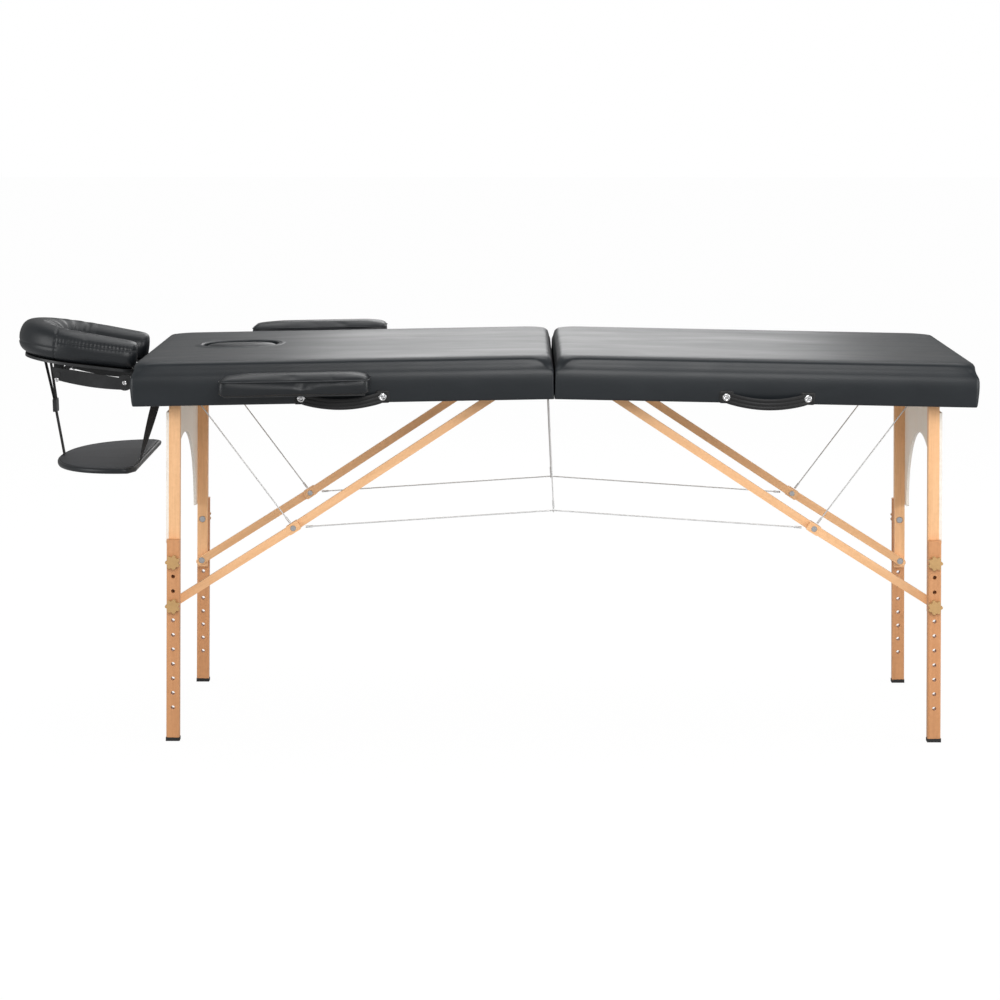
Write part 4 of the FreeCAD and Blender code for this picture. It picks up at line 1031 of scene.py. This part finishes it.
    def build(self) -> None:
        """Make the half's upholstery and dress its frame, deck and fittings."""
        name = self.end.name.lower()
        self.upholstery()
        if self.end is End.HEAD:
            self.hole_lip()
            self.plug()
        dress(name + "_frame", self.finishes.bed_vinyl)
        dress(name + "_deck", self.finishes.deck_ply)
        dress(name + "_brackets", self.finishes.steel)
        dress(name + "_hinge_leaves", self.finishes.steel)


@dataclass
class CarryHandle:
    """Folded leather strap with three stitched ribs between two riveted patches."""

    end: End
    finishes: Finishes
    centre: float = 459.0
    span: float = 176.0
    level: float = 13.5
    height: float = 26.0
    sag: float = 13.0
    bow: float = 17.0
    face: float = 357.6

    def strap(self) -> bpy.types.Object:
        """Ribbed strap that bows out and sags.

        Returns:
            The piece.
        """
        rings = []
        steps = 44
        half = self.span / 2
        for index in range(steps + 1):
            t = index / steps
            x = self.centre + (2 * t - 1) * half
            swell = math.sin(math.pi * t) ** 0.8 if 0 < t < 1 else 0.0
            y = self.face + self.bow * swell
            z = self.level - self.sag * swell
            height = self.height * (1.0 - 0.08 * swell)
            ring = []
            for k in range(25):
                u = k / 24
                ridge = 0.9 * abs(math.sin(3 * math.pi * u)) ** 0.7
                ring.append(HALF.point(self.end, x, -(y + 2.6 + ridge),
                                       z + (u - 0.5) * height))
            for k in range(25):
                u = 1 - k / 24
                ring.append(HALF.point(self.end, x, -(y - 0.2), z + (u - 0.5) * height * 0.99))
            rings.append(ring)
        name = self.end.name.lower() + "_handle_strap"
        piece = new_piece(name, skin_rings(rings), self.finishes.leather, 35.0)
        return piece

    def stitch_rows(self) -> list[bpy.types.Object]:
        """Rows of short stitches along the edges of the strap.

        Returns:
            The pieces, one for each row.
        """
        rows = []
        for number, share in enumerate((0.05, 0.36, 0.64, 0.95)):
            data = bmesh.new()
            steps = 52
            for index in range(4, steps - 4):
                t = index / steps
                x = self.centre + (2 * t - 1) * self.span / 2
                swell = math.sin(math.pi * t) ** 0.8
                y = self.face + self.bow * swell + 3.1
                z = self.level - self.sag * swell
                z += (share - 0.5) * self.height * (1.0 - 0.08 * swell)
                centre = HALF.point(self.end, x, -y, z)
                stitch = Matrix.Translation(centre) @ Matrix.Diagonal((0.0011, 0.0005, 0.0004, 1))
                bmesh.ops.create_icosphere(data, subdivisions=1, radius=1.0, matrix=stitch)
            name = f"{self.end.name.lower()}_handle_stitches_{number}"
            rows.append(new_piece(name, data, self.finishes.thread))
        return rows

    def patch(self, side: int) -> list[bpy.types.Object]:
        """Leather patch with its rivet at one end of the strap.

        Args:
            side: -1 for the end towards the hinge, 1 for the other.

        Returns:
            The patch and its rivet.
        """
        x = self.centre + side * self.span / 2
        name = f"{self.end.name.lower()}_handle_patch_{'inner' if side < 0 else 'outer'}"
        rings = []
        for inset, proud in ((0.0, -0.6), (0.0, 1.2), (0.8, 1.9), (4.0, 2.1), (7.0, 1.9)):
            outline = rounded_outline(x - 15 + inset, x + 15 - inset,
                                      self.level - 13.5 + inset, self.level + 13.5 - inset,
                                      4.0, 6, 6, 4)
            rings.append([HALF.point(self.end, px, -(self.face + proud), pz)
                          for px, pz in outline])
        patch = new_piece(name, skin_rings(rings), self.finishes.leather)
        seat = HALF.point(self.end, x, -(self.face + 4.0), self.level)
        head = rivet(name + "_rivet", seat, Vector((0, -1, 0)), 0.0085, 0.0034,
                     self.finishes.bright)
        return [patch, head]

    def build(self) -> None:
        """Make the handle and fix it to its half."""
        name = self.end.name.lower()
        pieces = [self.strap(), *self.stitch_rows(), *self.patch(-1), *self.patch(1)]
        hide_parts(name + "_handle")
        for piece in pieces:
            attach(piece, name + "_panel")


@dataclass
class LegFrame:
    """Wooden legs, arched board, struts and knobs of one end."""

    end: End
    finishes: Finishes

    def build(self) -> None:
        """Dress every wooden, steel and moulded piece of the end."""
        name = self.end.name.lower()
        strut = self.finishes.head_strut if self.end is End.HEAD else self.finishes.foot_strut
        dress(name + "_upper_legs", self.finishes.leg_beech)
        dress(name + "_apron", self.finishes.arch_ply_with_painted_light)
        dress(name + "_leg_bolts", self.finishes.steel)
        dress(name + "_lower_struts", strut)
        dress(name + "_upper_struts", strut)
        dress(name + "_knee_heads", self.finishes.steel)
        dress(name + "_knee_nuts", self.finishes.steel)
        for side in Side:
            corner = name + "_" + side.name.lower()
            dress("lower_leg_" + corner, self.finishes.warm_beech)
            dress("rubber_foot_" + corner, self.finishes.rubber)
            for level in ("upper", "lower"):
                dress(f"knob_{corner}_{level}", self.finishes.knob)


@dataclass
class BraceCables:
    """Steel stay cables, cross cables and centre hangers under the bed."""

    finishes: Finishes
    plane: float = 261.25
    knee_x: float = 579.9
    knee_z: float = -285.0
    eye_x: float = 797.0
    eye_z: float = 22.0
    hanger_level: float = 510.0
    radius: float = 0.0014
    sleeve_length: float = 0.016
    sleeve_radius: float = 0.0024
    ring_radius: float = 0.0046

    def knee(self, end: End, side: Side) -> Vector:
        """Middle of a mid joint."""
        return HALF.point(end, self.knee_x, side.value * self.plane, self.knee_z)

    def ring_point(self, side: Side) -> Vector:
        """Where the cross cable runs through its hanger ring."""
        origin = HALF.origin()
        return Vector((origin.x, side.value * self.plane * MM, self.hanger_level * MM))

    def run(self, name: str, a: Vector, b: Vector,
            sleeves: tuple[bool, bool]) -> bpy.types.Object:
        """Cable with a crimped sleeve at the chosen ends.

        Args:
            name: Name of the piece.
            a: First end.
            b: Second end.
            sleeves: Whether each end carries a sleeve.

        Returns:
            The piece.
        """
        length = (b - a).length
        crimp = self.sleeve_length / length
        shares = sorted({0.0, crimp * 0.999, crimp, 1 - crimp, 1 - crimp * 0.999, 1.0}
                        | {i / 40 for i in range(41)})
        path = [a.lerp(b, t) for t in shares]

        def size(share: float) -> float:
            t = shares[round(share * (len(shares) - 1))]
            in_sleeve = (sleeves[0] and t < crimp) or (sleeves[1] and t > 1 - crimp)
            return self.sleeve_radius if in_sleeve else self.radius

        return tube(name, path, size, self.finishes.cable, 10)

    def stay(self, end: End, side: Side) -> None:
        """Stay cable from its eye under the deck to the mid joint."""
        name = end.name.lower()
        eye = HALF.point(end, self.eye_x, side.value * self.plane, self.eye_z)
        knee = self.knee(end, side)
        way = (eye - knee).normalized()
        start, stop = knee + way * 0.0125, eye + way * 0.001
        piece = self.run(f"{name}_stay_{side.name.lower()}", start, stop, (True, True))
        if side is Side.NEAR:
            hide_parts(name + "_cables")
        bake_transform(piece)

    def cross(self, end: End, side: Side) -> None:
        """Cross cable from the hanger ring to the mid joint."""
        name = end.name.lower()
        ring, knee = self.ring_point(side), self.knee(end, side)
        way = (ring - knee).normalized()
        start = knee + way * 0.027
        label = f"{name}_cross_{side.name.lower()}"
        if end is End.HEAD:
            piece = self.run(label, start, ring, (True, False))
            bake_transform(piece)
            return
        middle = start.lerp(ring, 0.5)
        outer = self.run(label + "_outer", start, middle, (True, False))
        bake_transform(outer)
        inner = self.run(label + "_inner", middle, ring, (False, False))
        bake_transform(inner)

    def hanger(self, side: Side) -> None:
        """Short cable under the hinge line with its ring and eye."""
        ring = self.ring_point(side)
        centre = ring + Vector((0, 0, 0.0018))
        loop = [centre + Vector((0, math.cos(a), math.sin(a))) * self.ring_radius
                for a in (math.tau * k / 28 for k in range(28))]
        top = HALF.point(End.HEAD, 12.0, side.value * self.plane, -5.0)
        seat = HALF.point(End.HEAD, 12.0, side.value * self.plane, 1.2)
        label = side.name.lower()
        circle = tube("hanger_ring_" + label, loop, self.radius, self.finishes.cable, 10, True)
        wire = self.run("hanger_wire_" + label, centre + Vector((0, 0, 0.0045)), top,
                        (True, False))
        stem = tube("hanger_eye_" + label, span(top - Vector((0, 0, 0.004)), seat, 8),
                    lambda t: 0.0034 if t < 0.5 else 0.0022, self.finishes.steel, 14)
        if side is Side.NEAR:
            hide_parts("cable_hangers")
        for piece in (circle, wire, stem):
            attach(piece, "head_panel")

    def build(self) -> None:
        """Make all the cables."""
        for side in Side:
            self.hanger(side)
            for end in End:
                self.stay(end, side)
                self.cross(end, side)


@dataclass
class Armrest:
    """Long side pad with a welted top seam, on its bracket."""

    side: Side
    finishes: Finishes
    skirt: float = 9.0

    def build(self) -> None:
        """Make the pad in its CAD place and dress the bracket."""
        label = self.side.name.lower()
        node = "armrest_pad_" + label
        low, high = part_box(node)
        low, high = Vector(low), Vector(high)
        tilt = math.tan(HALF.camber)
        x0, x1 = low.x / MM, high.x / MM
        y0, y1 = low.y / MM, high.y / MM
        rise = (x1 - x0) * tilt
        base, top = low.z / MM - self.skirt, high.z / MM - rise
        height = top - base
        rows = ((9.0, 0.0, 8.0), (3.0, 0.4, 8.0), (1.4, 3.0, 9.0), (0.6, height * 0.3, 11.0),
                (0.2, height * 0.55, 12.0), (1.2, height * 0.72, 12.0),
                (2.6, height * 0.8, 12.0), (5.4, height * 0.88, 13.0),
                (10.0, height * 0.945, 16.0), (17.0, height * 0.98, 18.0),
                (26.0, height * 0.995, 17.0), (36.0, height, 8.0))
        rings = []
        for inset, lift, radius in rows:
            outline = rounded_outline(x0 + inset, x1 - inset, y0 + inset, y1 - inset, radius,
                                      40, 10, 6)
            rings.append([Vector((x, y, base + lift + (x - x0) * tilt)) * MM
                          for x, y in outline])
        pad = new_piece("armrest_cover_" + label, skin_rings(rings), self.finishes.pad_vinyl,
                        70.0)
        puff(pad, 0.005, 2.2, 0.004, Vector((0, 0, 1)), (base + 2.0) * MM)
        outline = rounded_outline(x0 + 1.0, x1 - 1.0, y0 + 1.0, y1 - 1.0, 12.0, 40, 10, 6)
        seam_path = [Vector((x, y, base + height * 0.74 + (x - x0) * tilt)) * MM
                     for x, y in outline]
        seam = tube("armrest_welt_" + label, seam_path, 0.0013, self.finishes.pad_vinyl, 8, True)
        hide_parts(node)
        for piece in (pad, seam):
            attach(piece, "armrest_" + label)
        dress("armrest_bracket_" + label, self.finishes.plastic)


@dataclass
class FaceCradle:
    """Tilting face cradle: horseshoe pad, platform, arms, base and lever."""

    finishes: Finishes
    bed_end: float = 915.0
    start: float = 11.0
    rise: float = 55.0
    tilt: float = math.radians(7.5)
    length: float = 288.0
    width: float = 296.0
    thickness: float = 62.0
    opening: float = 132.0
    depth: float = 190.0
    crest: float = 25.0
    swell: float = 0.15

    def seat(self, x: float, y: float, z: float) -> Vector:
        """Row-frame position of a point given from the pad's tilted seat."""
        c, s = math.cos(self.tilt), math.sin(self.tilt)
        return HALF.point(End.HEAD, self.bed_end + self.start + x * c - z * s, y,
                          self.rise + x * s + z * c)

    def edges(self, t: float) -> tuple[tuple[float, float], tuple[float, float]]:
        """Outer and inner edge of the horseshoe.

        Args:
            t: Share of the way from the near lobe round to the far lobe.

        Returns:
            The outer point and the inner point, from the tilted seat.
        """
        half, inner = self.width / 2, self.opening / 2
        bend_out, bend_in = self.length - half, self.depth - inner
        straight = 0.29
        if t < straight or t > 1 - straight:
            side = -1.0 if t < 0.5 else 1.0
            share = (t if t < 0.5 else 1 - t) / straight
            return (bend_out * share, side * half), (bend_in * share, side * inner)
        angle = math.pi * ((t - straight) / (1 - 2 * straight) - 0.5)
        c, s = math.cos(angle), math.sin(angle)
        return (bend_out + half * c, half * s), (bend_in + inner * c, inner * s)

    def section(self, t: float, shrink: float, ahead: float) -> Ring:
        """One cross-section of the pad.

        Args:
            t: Share of the way round the horseshoe.
            shrink: Size of the section, 1 at full.
            ahead: Millimetres that the section moves away from the bed.

        Returns:
            The ring in the row frame.
        """
        outer, inner = self.edges(t)
        cx, cy = (outer[0] + inner[0]) / 2, (outer[1] + inner[1]) / 2
        ux, uy = (outer[0] - inner[0]) / 2, (outer[1] - inner[1]) / 2
        ring = []
        for k in range(36):
            a = math.tau * k / 36
            c, s = math.cos(a), math.sin(a)
            wide = math.copysign(abs(c) ** 0.66, c)
            tall = math.copysign(abs(s) ** 0.7, s)
            lean = 1.0 - 0.14 * max(0.0, tall) - 0.03 * max(0.0, -tall)
            reach = wide * shrink * lean
            outward = 1.0 + self.swell * max(0.0, c) * max(0.0, cx / self.length) ** 2
            x = cx + ux * reach * outward + ahead
            crest = self.crest * max(0.0, x / self.length) ** 1.4 * (0.7 + 0.3 * c)
            full = self.thickness - 1.2 + (crest if tall > -0.2 else 0.0)
            z = 0.6 + full * (0.5 + 0.5 * tall * (0.4 + 0.6 * shrink))
            ring.append(self.seat(x, cy + uy * reach, z))
        return ring

    def pad(self) -> bpy.types.Object:
        """Horseshoe pad.

        Returns:
            The piece.
        """
        caps = ((0.08, 11.0), (0.42, 11.5), (0.66, 13.0), (0.82, 16.0), (0.93, 20.5),
                (0.985, 27.0))
        rings = [self.section(0.0, *cap) for cap in caps]
        steps = 110
        for index in range(steps + 1):
            t = 0.075 + 0.85 * index / steps
            rings.append(self.section(t, 1.0, 0.0))
        rings += [self.section(1.0, *cap) for cap in reversed(caps)]
        return new_piece("cradle_pad_cover", skin_rings(rings), self.finishes.pad_vinyl, 80.0)

    def flat(self, point: Vector) -> Vector:
        """Place of a row-frame point on the pad's tilted seat, in millimetres."""
        away = (point - HALF.origin()) / MM
        c, s = math.cos(HALF.camber), math.sin(HALF.camber)
        x = -away.x * c - away.z * s - self.bed_end - self.start
        z = -away.x * s + away.z * c - self.rise
        c, s = math.cos(self.tilt), math.sin(self.tilt)
        return Vector((x * c + z * s, away.y, z * c - x * s))

    def gather(self, pad: bpy.types.Object) -> None:
        """Press the sewn gathers and ruffled seams into the pad.

        Args:
            pad: The finished pad.
        """
        mesh = pad.data
        bend = (self.length - self.width / 2 + self.depth - self.opening / 2) / 2
        moves = []
        for vertex in mesh.vertices:
            spot = self.flat(vertex.co)
            turn = math.atan2(spot.y, max(spot.x - bend, 0.0) + 1e-6)
            far_out = math.hypot(max(spot.x - bend, 0.0), spot.y)
            inward = max(0.0, min(1.0, (124.0 - far_out) / 46.0))
            high = max(0.0, min(1.0, (spot.z - 18.0) / 24.0))
            curved = max(0.0, min(1.0, (spot.x - bend + 26.0) / 50.0))
            fold = abs(math.sin(11.0 * turn + 1.2 * noise.noise(vertex.co * 22.0))) ** 2.2
            depth = 3.2 * fold * inward * high * curved
            outer = max(0.0, min(1.0, (far_out - 112.0) / 18.0))
            ended = max(0.0, min(1.0, (spot.x - bend - 52.0) / 14.0))
            level = 0.72 * self.thickness
            ruffle = 0.5 + 0.5 * math.sin(math.tau * spot.x / 8.5 + 2.0 * turn)
            near_seam = math.exp(-((spot.z - level - 2.0) / 7.0) ** 2)
            depth += 1.3 * ruffle * near_seam * outer * (1.0 - ended)
            depth += 1.6 * math.exp(-((spot.z - level) / 1.8) ** 2) * outer * (1.0 - ended)
            middle = 0.46 * self.thickness
            depth += 1.6 * math.exp(-((spot.z - middle) / 1.8) ** 2) * outer * ended
            side_seam = math.exp(-((spot.x - bend - 60.0) / 2.4) ** 2)
            pucker = 0.6 + 0.4 * math.sin(math.tau * spot.z / 9.0)
            depth += 2.4 * side_seam * pucker * outer
            moves.append(vertex.co - vertex.normal * depth * MM)
        for vertex, place in zip(mesh.vertices, moves):
            vertex.co = place
        mesh.update()

    def rivets(self) -> list[tuple[bpy.types.Object, str]]:
        """Bright rivets of the arms, pivots and cross bar.

        Returns:
            Each rivet with the body that it rides on.
        """
        made = []
        for sign in (-1, 1):
            label = "near" if sign < 0 else "far"
            face = 124.1
            for name, x, z, body, size in (("arm", 1112.0, 38.0, "cradle_arms", 0.0048),
                                           ("pivot", 960.0, 28.0, "cradle_base", 0.0052)):
                out = face + (2.6 if name == "pivot" else 0.0)
                seat = HALF.point(End.HEAD, x, sign * out, z)
                made.append((rivet(f"cradle_{name}_rivet_{label}", seat,
                                   Vector((0, sign, 0)), size, 0.002,
                                   self.finishes.bright), body))
        for index, y in enumerate((-88.0, -60.0)):
            seat = HALF.point(End.HEAD, 937.0, y, 45.6)
            made.append((rivet(f"cradle_lever_rivet_{index}", seat, Vector((0, 0, 1)), 0.0045,
                               0.002, self.finishes.bright), "cradle_lever"))
        return made

    def build(self) -> None:
        """Make the pad and dress the carrier."""
        pad = self.pad()
        puff(pad, 0.005, 2.0, 0.003, Vector((0, 0, 1)), -10.0)
        self.gather(pad)
        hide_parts("cradle_pad")
        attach(pad, "cradle_head")
        for piece, body in self.rivets():
            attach(piece, body)
        dress("cradle_platform", self.finishes.plastic)
        dress("cradle_arms", self.finishes.plastic)
        dress("cradle_base", self.finishes.black_steel)
        dress("cradle_lever", self.finishes.black_steel)


@dataclass
class ArmShelf:
    """Hanging D-shaped shelf with its padded top, welt, straps and buckle."""

    finishes: Finishes
    bed_end: float = 915.0
    start: float = 14.0
    depth: float = 203.0
    half: float = 250.0
    drop: float = 149.0
    thickness: float = 16.0
    trim: float = 4.0

    def outline(self, inset: float) -> list[tuple[float, float]]:
        """Points round the shelf from the straight side.

        Args:
            inset: Millimetres inside the full outline.

        Returns:
            The points, out from the hinge line and across.
        """
        x0 = self.bed_end + self.start + inset
        x1 = self.bed_end + self.start + self.depth - inset
        half = self.half - inset
        points = []
        for k in range(24):
            points.append((x0, half - 14 - (2 * half - 28) * k / 24))
        for k in range(64):
            a = math.pi * k / 63
            x = x0 + 14 + (x1 - x0 - 14) * math.sin(a) ** 0.86
            y = -half * math.copysign(abs(math.cos(a)) ** 0.9, math.cos(a))
            points.append((x, y))
        return points

    def slab(self) -> list[bpy.types.Object]:
        """Padded slab with its top panel, in vinyl made lighter as painted light on the upward
        face, and a welt.

        Returns:
            The pieces.
        """
        top, low = -self.drop, -self.drop - self.thickness + self.trim
        rows = ((6.0, low), (1.5, low + 0.6), (0.0, low + 4.0), (0.0, top - 4.5),
                (1.0, top - 1.8), (3.6, top - 0.4), (6.0, top - 0.7))
        rings = [[HALF.point(End.HEAD, x, y, z) for x, y in self.outline(inset)]
                 for inset, z in rows]
        rim = new_piece("arm_shelf_rim", skin_rings(rings), self.finishes.pad_vinyl, 70.0)
        # Top panel in the lighter vinyl: painted light on the upward face.
        rings = []
        for inset, z in ((6.5, top - 1.2), (7.5, top - 0.1), (12.0, top + 0.5),
                         (22.0, top + 1.0), (45.0, top + 1.5), (90.0, top + 1.8)):
            rings.append([HALF.point(End.HEAD, x, y, z) for x, y in self.outline(inset)])
        panel = new_piece("arm_shelf_top", skin_rings(rings), self.finishes.shelf_top_with_painted_light, 70.0)
        path = [HALF.point(End.HEAD, x, y, top - 0.2) for x, y in self.outline(6.0)]
        welt = tube("arm_shelf_welt", path, 0.0009, self.finishes.thread, 8, True)
        return [rim, panel, welt]

    def front_strap(self) -> None:
        """Two plies from the platform down to the buckle, and the tail to the shelf."""
        z_high = 76.0
        x_high = self.bed_end + 237.0
        buckle_low, buckle_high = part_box("strap_buckle")
        middle = (Vector(buckle_low) + Vector(buckle_high)) / 2
        half_height = (buckle_high.z - buckle_low.z) / 2
        wide = Vector((0, 1, 0))
        for side, label in ((-1, "inner"), (1, "outer")):
            top = HALF.point(End.HEAD, x_high + side * 6.5, 0, z_high + side * 0.9)
            low = middle + Vector((-side * 0.002, 0, half_height * 0.6))
            split = top.lerp(low, 0.12)
            upper = ribbon("front_strap_top_" + label, span(top, split, 12),
                           [wide] * 13, 0.025, 0.0018, self.finishes.webbing)
            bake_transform(upper)
            lower = ribbon("front_strap_low_" + label, span(split, low, 12),
                           [wide] * 13, 0.025, 0.0018, self.finishes.webbing)
            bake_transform(lower)
            if side < 0:
                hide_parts("shelf_straps")
        start = middle - Vector((0, 0, half_height * 0.6))
        stop = HALF.point(End.HEAD, self.bed_end + self.start + self.depth - 10.0, 0,
                          -self.drop + 0.8)
        tail = ribbon("front_strap_tail", span(start, stop, 20), [wide] * 21, 0.025, 0.0018,
                      self.finishes.webbing)
        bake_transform(tail)

    def rear_strap(self) -> None:
        """Single strap from the end rail down to the shelf, turned on its way."""
        top = HALF.point(End.HEAD, self.bed_end - 26.0, -92.0, 0.6)
        low = HALF.point(End.HEAD, self.bed_end + self.start + 6.0, -92.0, -self.drop + 0.8)
        path = span(top, low, 30)
        across = []
        for index in range(31):
            angle = math.radians(90.0) * (index / 30)
            across.append(Vector((math.cos(angle), math.sin(angle) * 0.97, 0.0)))
        split = 12
        upper = ribbon("rear_strap_top", path[:split + 1], across[:split + 1], 0.02, 0.0018,
                       self.finishes.webbing)
        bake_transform(upper)
        lower = ribbon("rear_strap_low", path[split:], across[split:], 0.02, 0.0018,
                       self.finishes.webbing)
        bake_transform(lower)

    def build(self) -> None:
        """Make the shelf and what hangs it."""
        pieces = self.slab()
        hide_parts("arm_shelf")
        for piece in pieces:
            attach(piece, "arm_shelf")
        self.front_strap()
        self.rear_strap()
        dress("strap_buckle", self.finishes.plastic)


@dataclass
class Studio:
    """Pale floor, soft lamps and the camera."""

    camera_at: tuple[float, float, float] = (0.071, -6.5116, 1.4981)
    yaw: float = -0.0067
    pitch: float = 0.1532
    roll: float = 0.0003
    focal: float = 2867.3
    image: int = 1000
    floor_glow: float = 0.93
    sky_light: float = 0.75
    sky_sheen: float = 0.3

    def floor(self) -> None:
        """Wide white floor that keeps the table's shadow."""
        data = bmesh.new()
        bmesh.ops.create_grid(data, x_segments=1, y_segments=1, size=30.0)
        material, kit, surface = start_material("studio_floor")
        surface.inputs["Base Color"].default_value = (0.42, 0.42, 0.42, 1.0)
        surface.inputs["Roughness"].default_value = 0.9
        surface.inputs["Specular IOR Level"].default_value = 0.0
        glow = kit.add("ShaderNodeEmission", {"Color": (1, 1, 1, 1), "Strength": 1.04})
        rays = kit.add("ShaderNodeLightPath")
        seen = kit.math("MULTIPLY", rays.outputs["Is Camera Ray"], self.floor_glow)
        blend = kit.add("ShaderNodeMixShader", {0: seen, 1: surface.outputs[0],
                                                2: glow.outputs[0]})
        output = material.node_tree.nodes["Material Output"]
        kit.tree.links.new(blend.outputs[0], output.inputs["Surface"])
        plane = new_piece("floor", data, material)
        plane.location.z = -0.0005

    def world(self) -> None:
        """White backdrop with a plain soft light."""
        world = bpy.data.worlds.new("studio_world")
        bpy.context.scene.world = world
        world.use_nodes = True
        kit = NodeKit(world.node_tree)
        rays = kit.add("ShaderNodeLightPath")
        dimmed = kit.add("ShaderNodeMapRange", {0: rays.outputs["Is Glossy Ray"], 1: 0.0,
                                                2: 1.0, 3: self.sky_light,
                                                4: self.sky_sheen})
        lit = kit.add("ShaderNodeMapRange", {0: rays.outputs["Is Camera Ray"], 1: 0.0, 2: 1.0,
                                             3: dimmed.outputs[0], 4: 1.0})
        sky = world.node_tree.nodes["Background"]
        sky.inputs[0].default_value = (1, 1, 1, 1)
        kit.tree.links.new(lit.outputs[0], sky.inputs[1])

    def lamp(self, name: str, at: tuple[float, float, float], size: float,
             power: float) -> None:
        """Square softbox aimed at the table.

        Args:
            name: Name of the lamp.
            at: Its position.
            size: Its side in metres.
            power: Its power in watts.
        """
        data = bpy.data.lights.new(name, "AREA")
        data.size = size
        data.energy = power
        lamp = bpy.data.objects.new(name, data)
        bpy.context.scene.collection.objects.link(lamp)
        lamp.location = at
        lamp.visible_camera = False
        aim = Vector((0, 0, 0.6)) - Vector(at)
        lamp.rotation_euler = aim.to_track_quat("-Z", "Y").to_euler()

    def camera(self) -> None:
        """Camera at the photo's place, angle and lens."""
        data = bpy.data.cameras.new("camera")
        data.sensor_width = 36.0
        data.lens = self.focal / self.image * 36.0
        data.clip_end = 100.0
        cam = bpy.data.objects.new("camera", data)
        bpy.context.scene.collection.objects.link(cam)
        forward = Vector((math.sin(self.yaw) * math.cos(self.pitch),
                          math.cos(self.yaw) * math.cos(self.pitch), -math.sin(self.pitch)))
        right = Vector((math.cos(self.yaw), -math.sin(self.yaw), 0.0))
        up = right.cross(forward)
        c, s = math.cos(self.roll), math.sin(self.roll)
        turned = (right * c + up * s, up * c - right * s, -forward)
        rotation = Matrix(turned).transposed().to_4x4()
        cam.matrix_world = Matrix.Translation(self.camera_at) @ rotation
        bpy.context.scene.camera = cam

    def build(self) -> None:
        """Set up the studio."""
        self.floor()
        self.world()
        self.lamp("overhead_softbox", (0.2, 0.8, 3.6), 3.4, 65.0)
        self.lamp("back_softbox", (0.25, 4.2, 2.4), 2.0, 30.0)
        self.lamp("front_softbox", (0.5, -4.4, 2.5), 1.8, 82.0)
        self.lamp("right_softbox", (3.6, -1.6, 1.4), 2.0, 55.0)
        self.lamp("left_softbox", (-3.6, -1.6, 1.4), 2.0, 45.0)
        self.camera()
        bpy.context.scene.view_settings.view_transform = "Standard"


def main() -> None:
    """Build the studio and every sub-assembly."""
    logging.basicConfig(level=logging.INFO, format="%(name)s: %(message)s")
    finishes = Finishes()
    parts: list[object] = [Studio()]
    for end in End:
        parts += [BedHalf(end, finishes), CarryHandle(end, finishes), LegFrame(end, finishes)]
    parts.append(BraceCables(finishes))
    parts += [Armrest(side, finishes) for side in Side]
    parts += [FaceCradle(finishes), ArmShelf(finishes)]
    for part in parts:
        part.build()
        LOG.info("built %s", type(part).__name__)


if __name__ == "__main__":
    main()
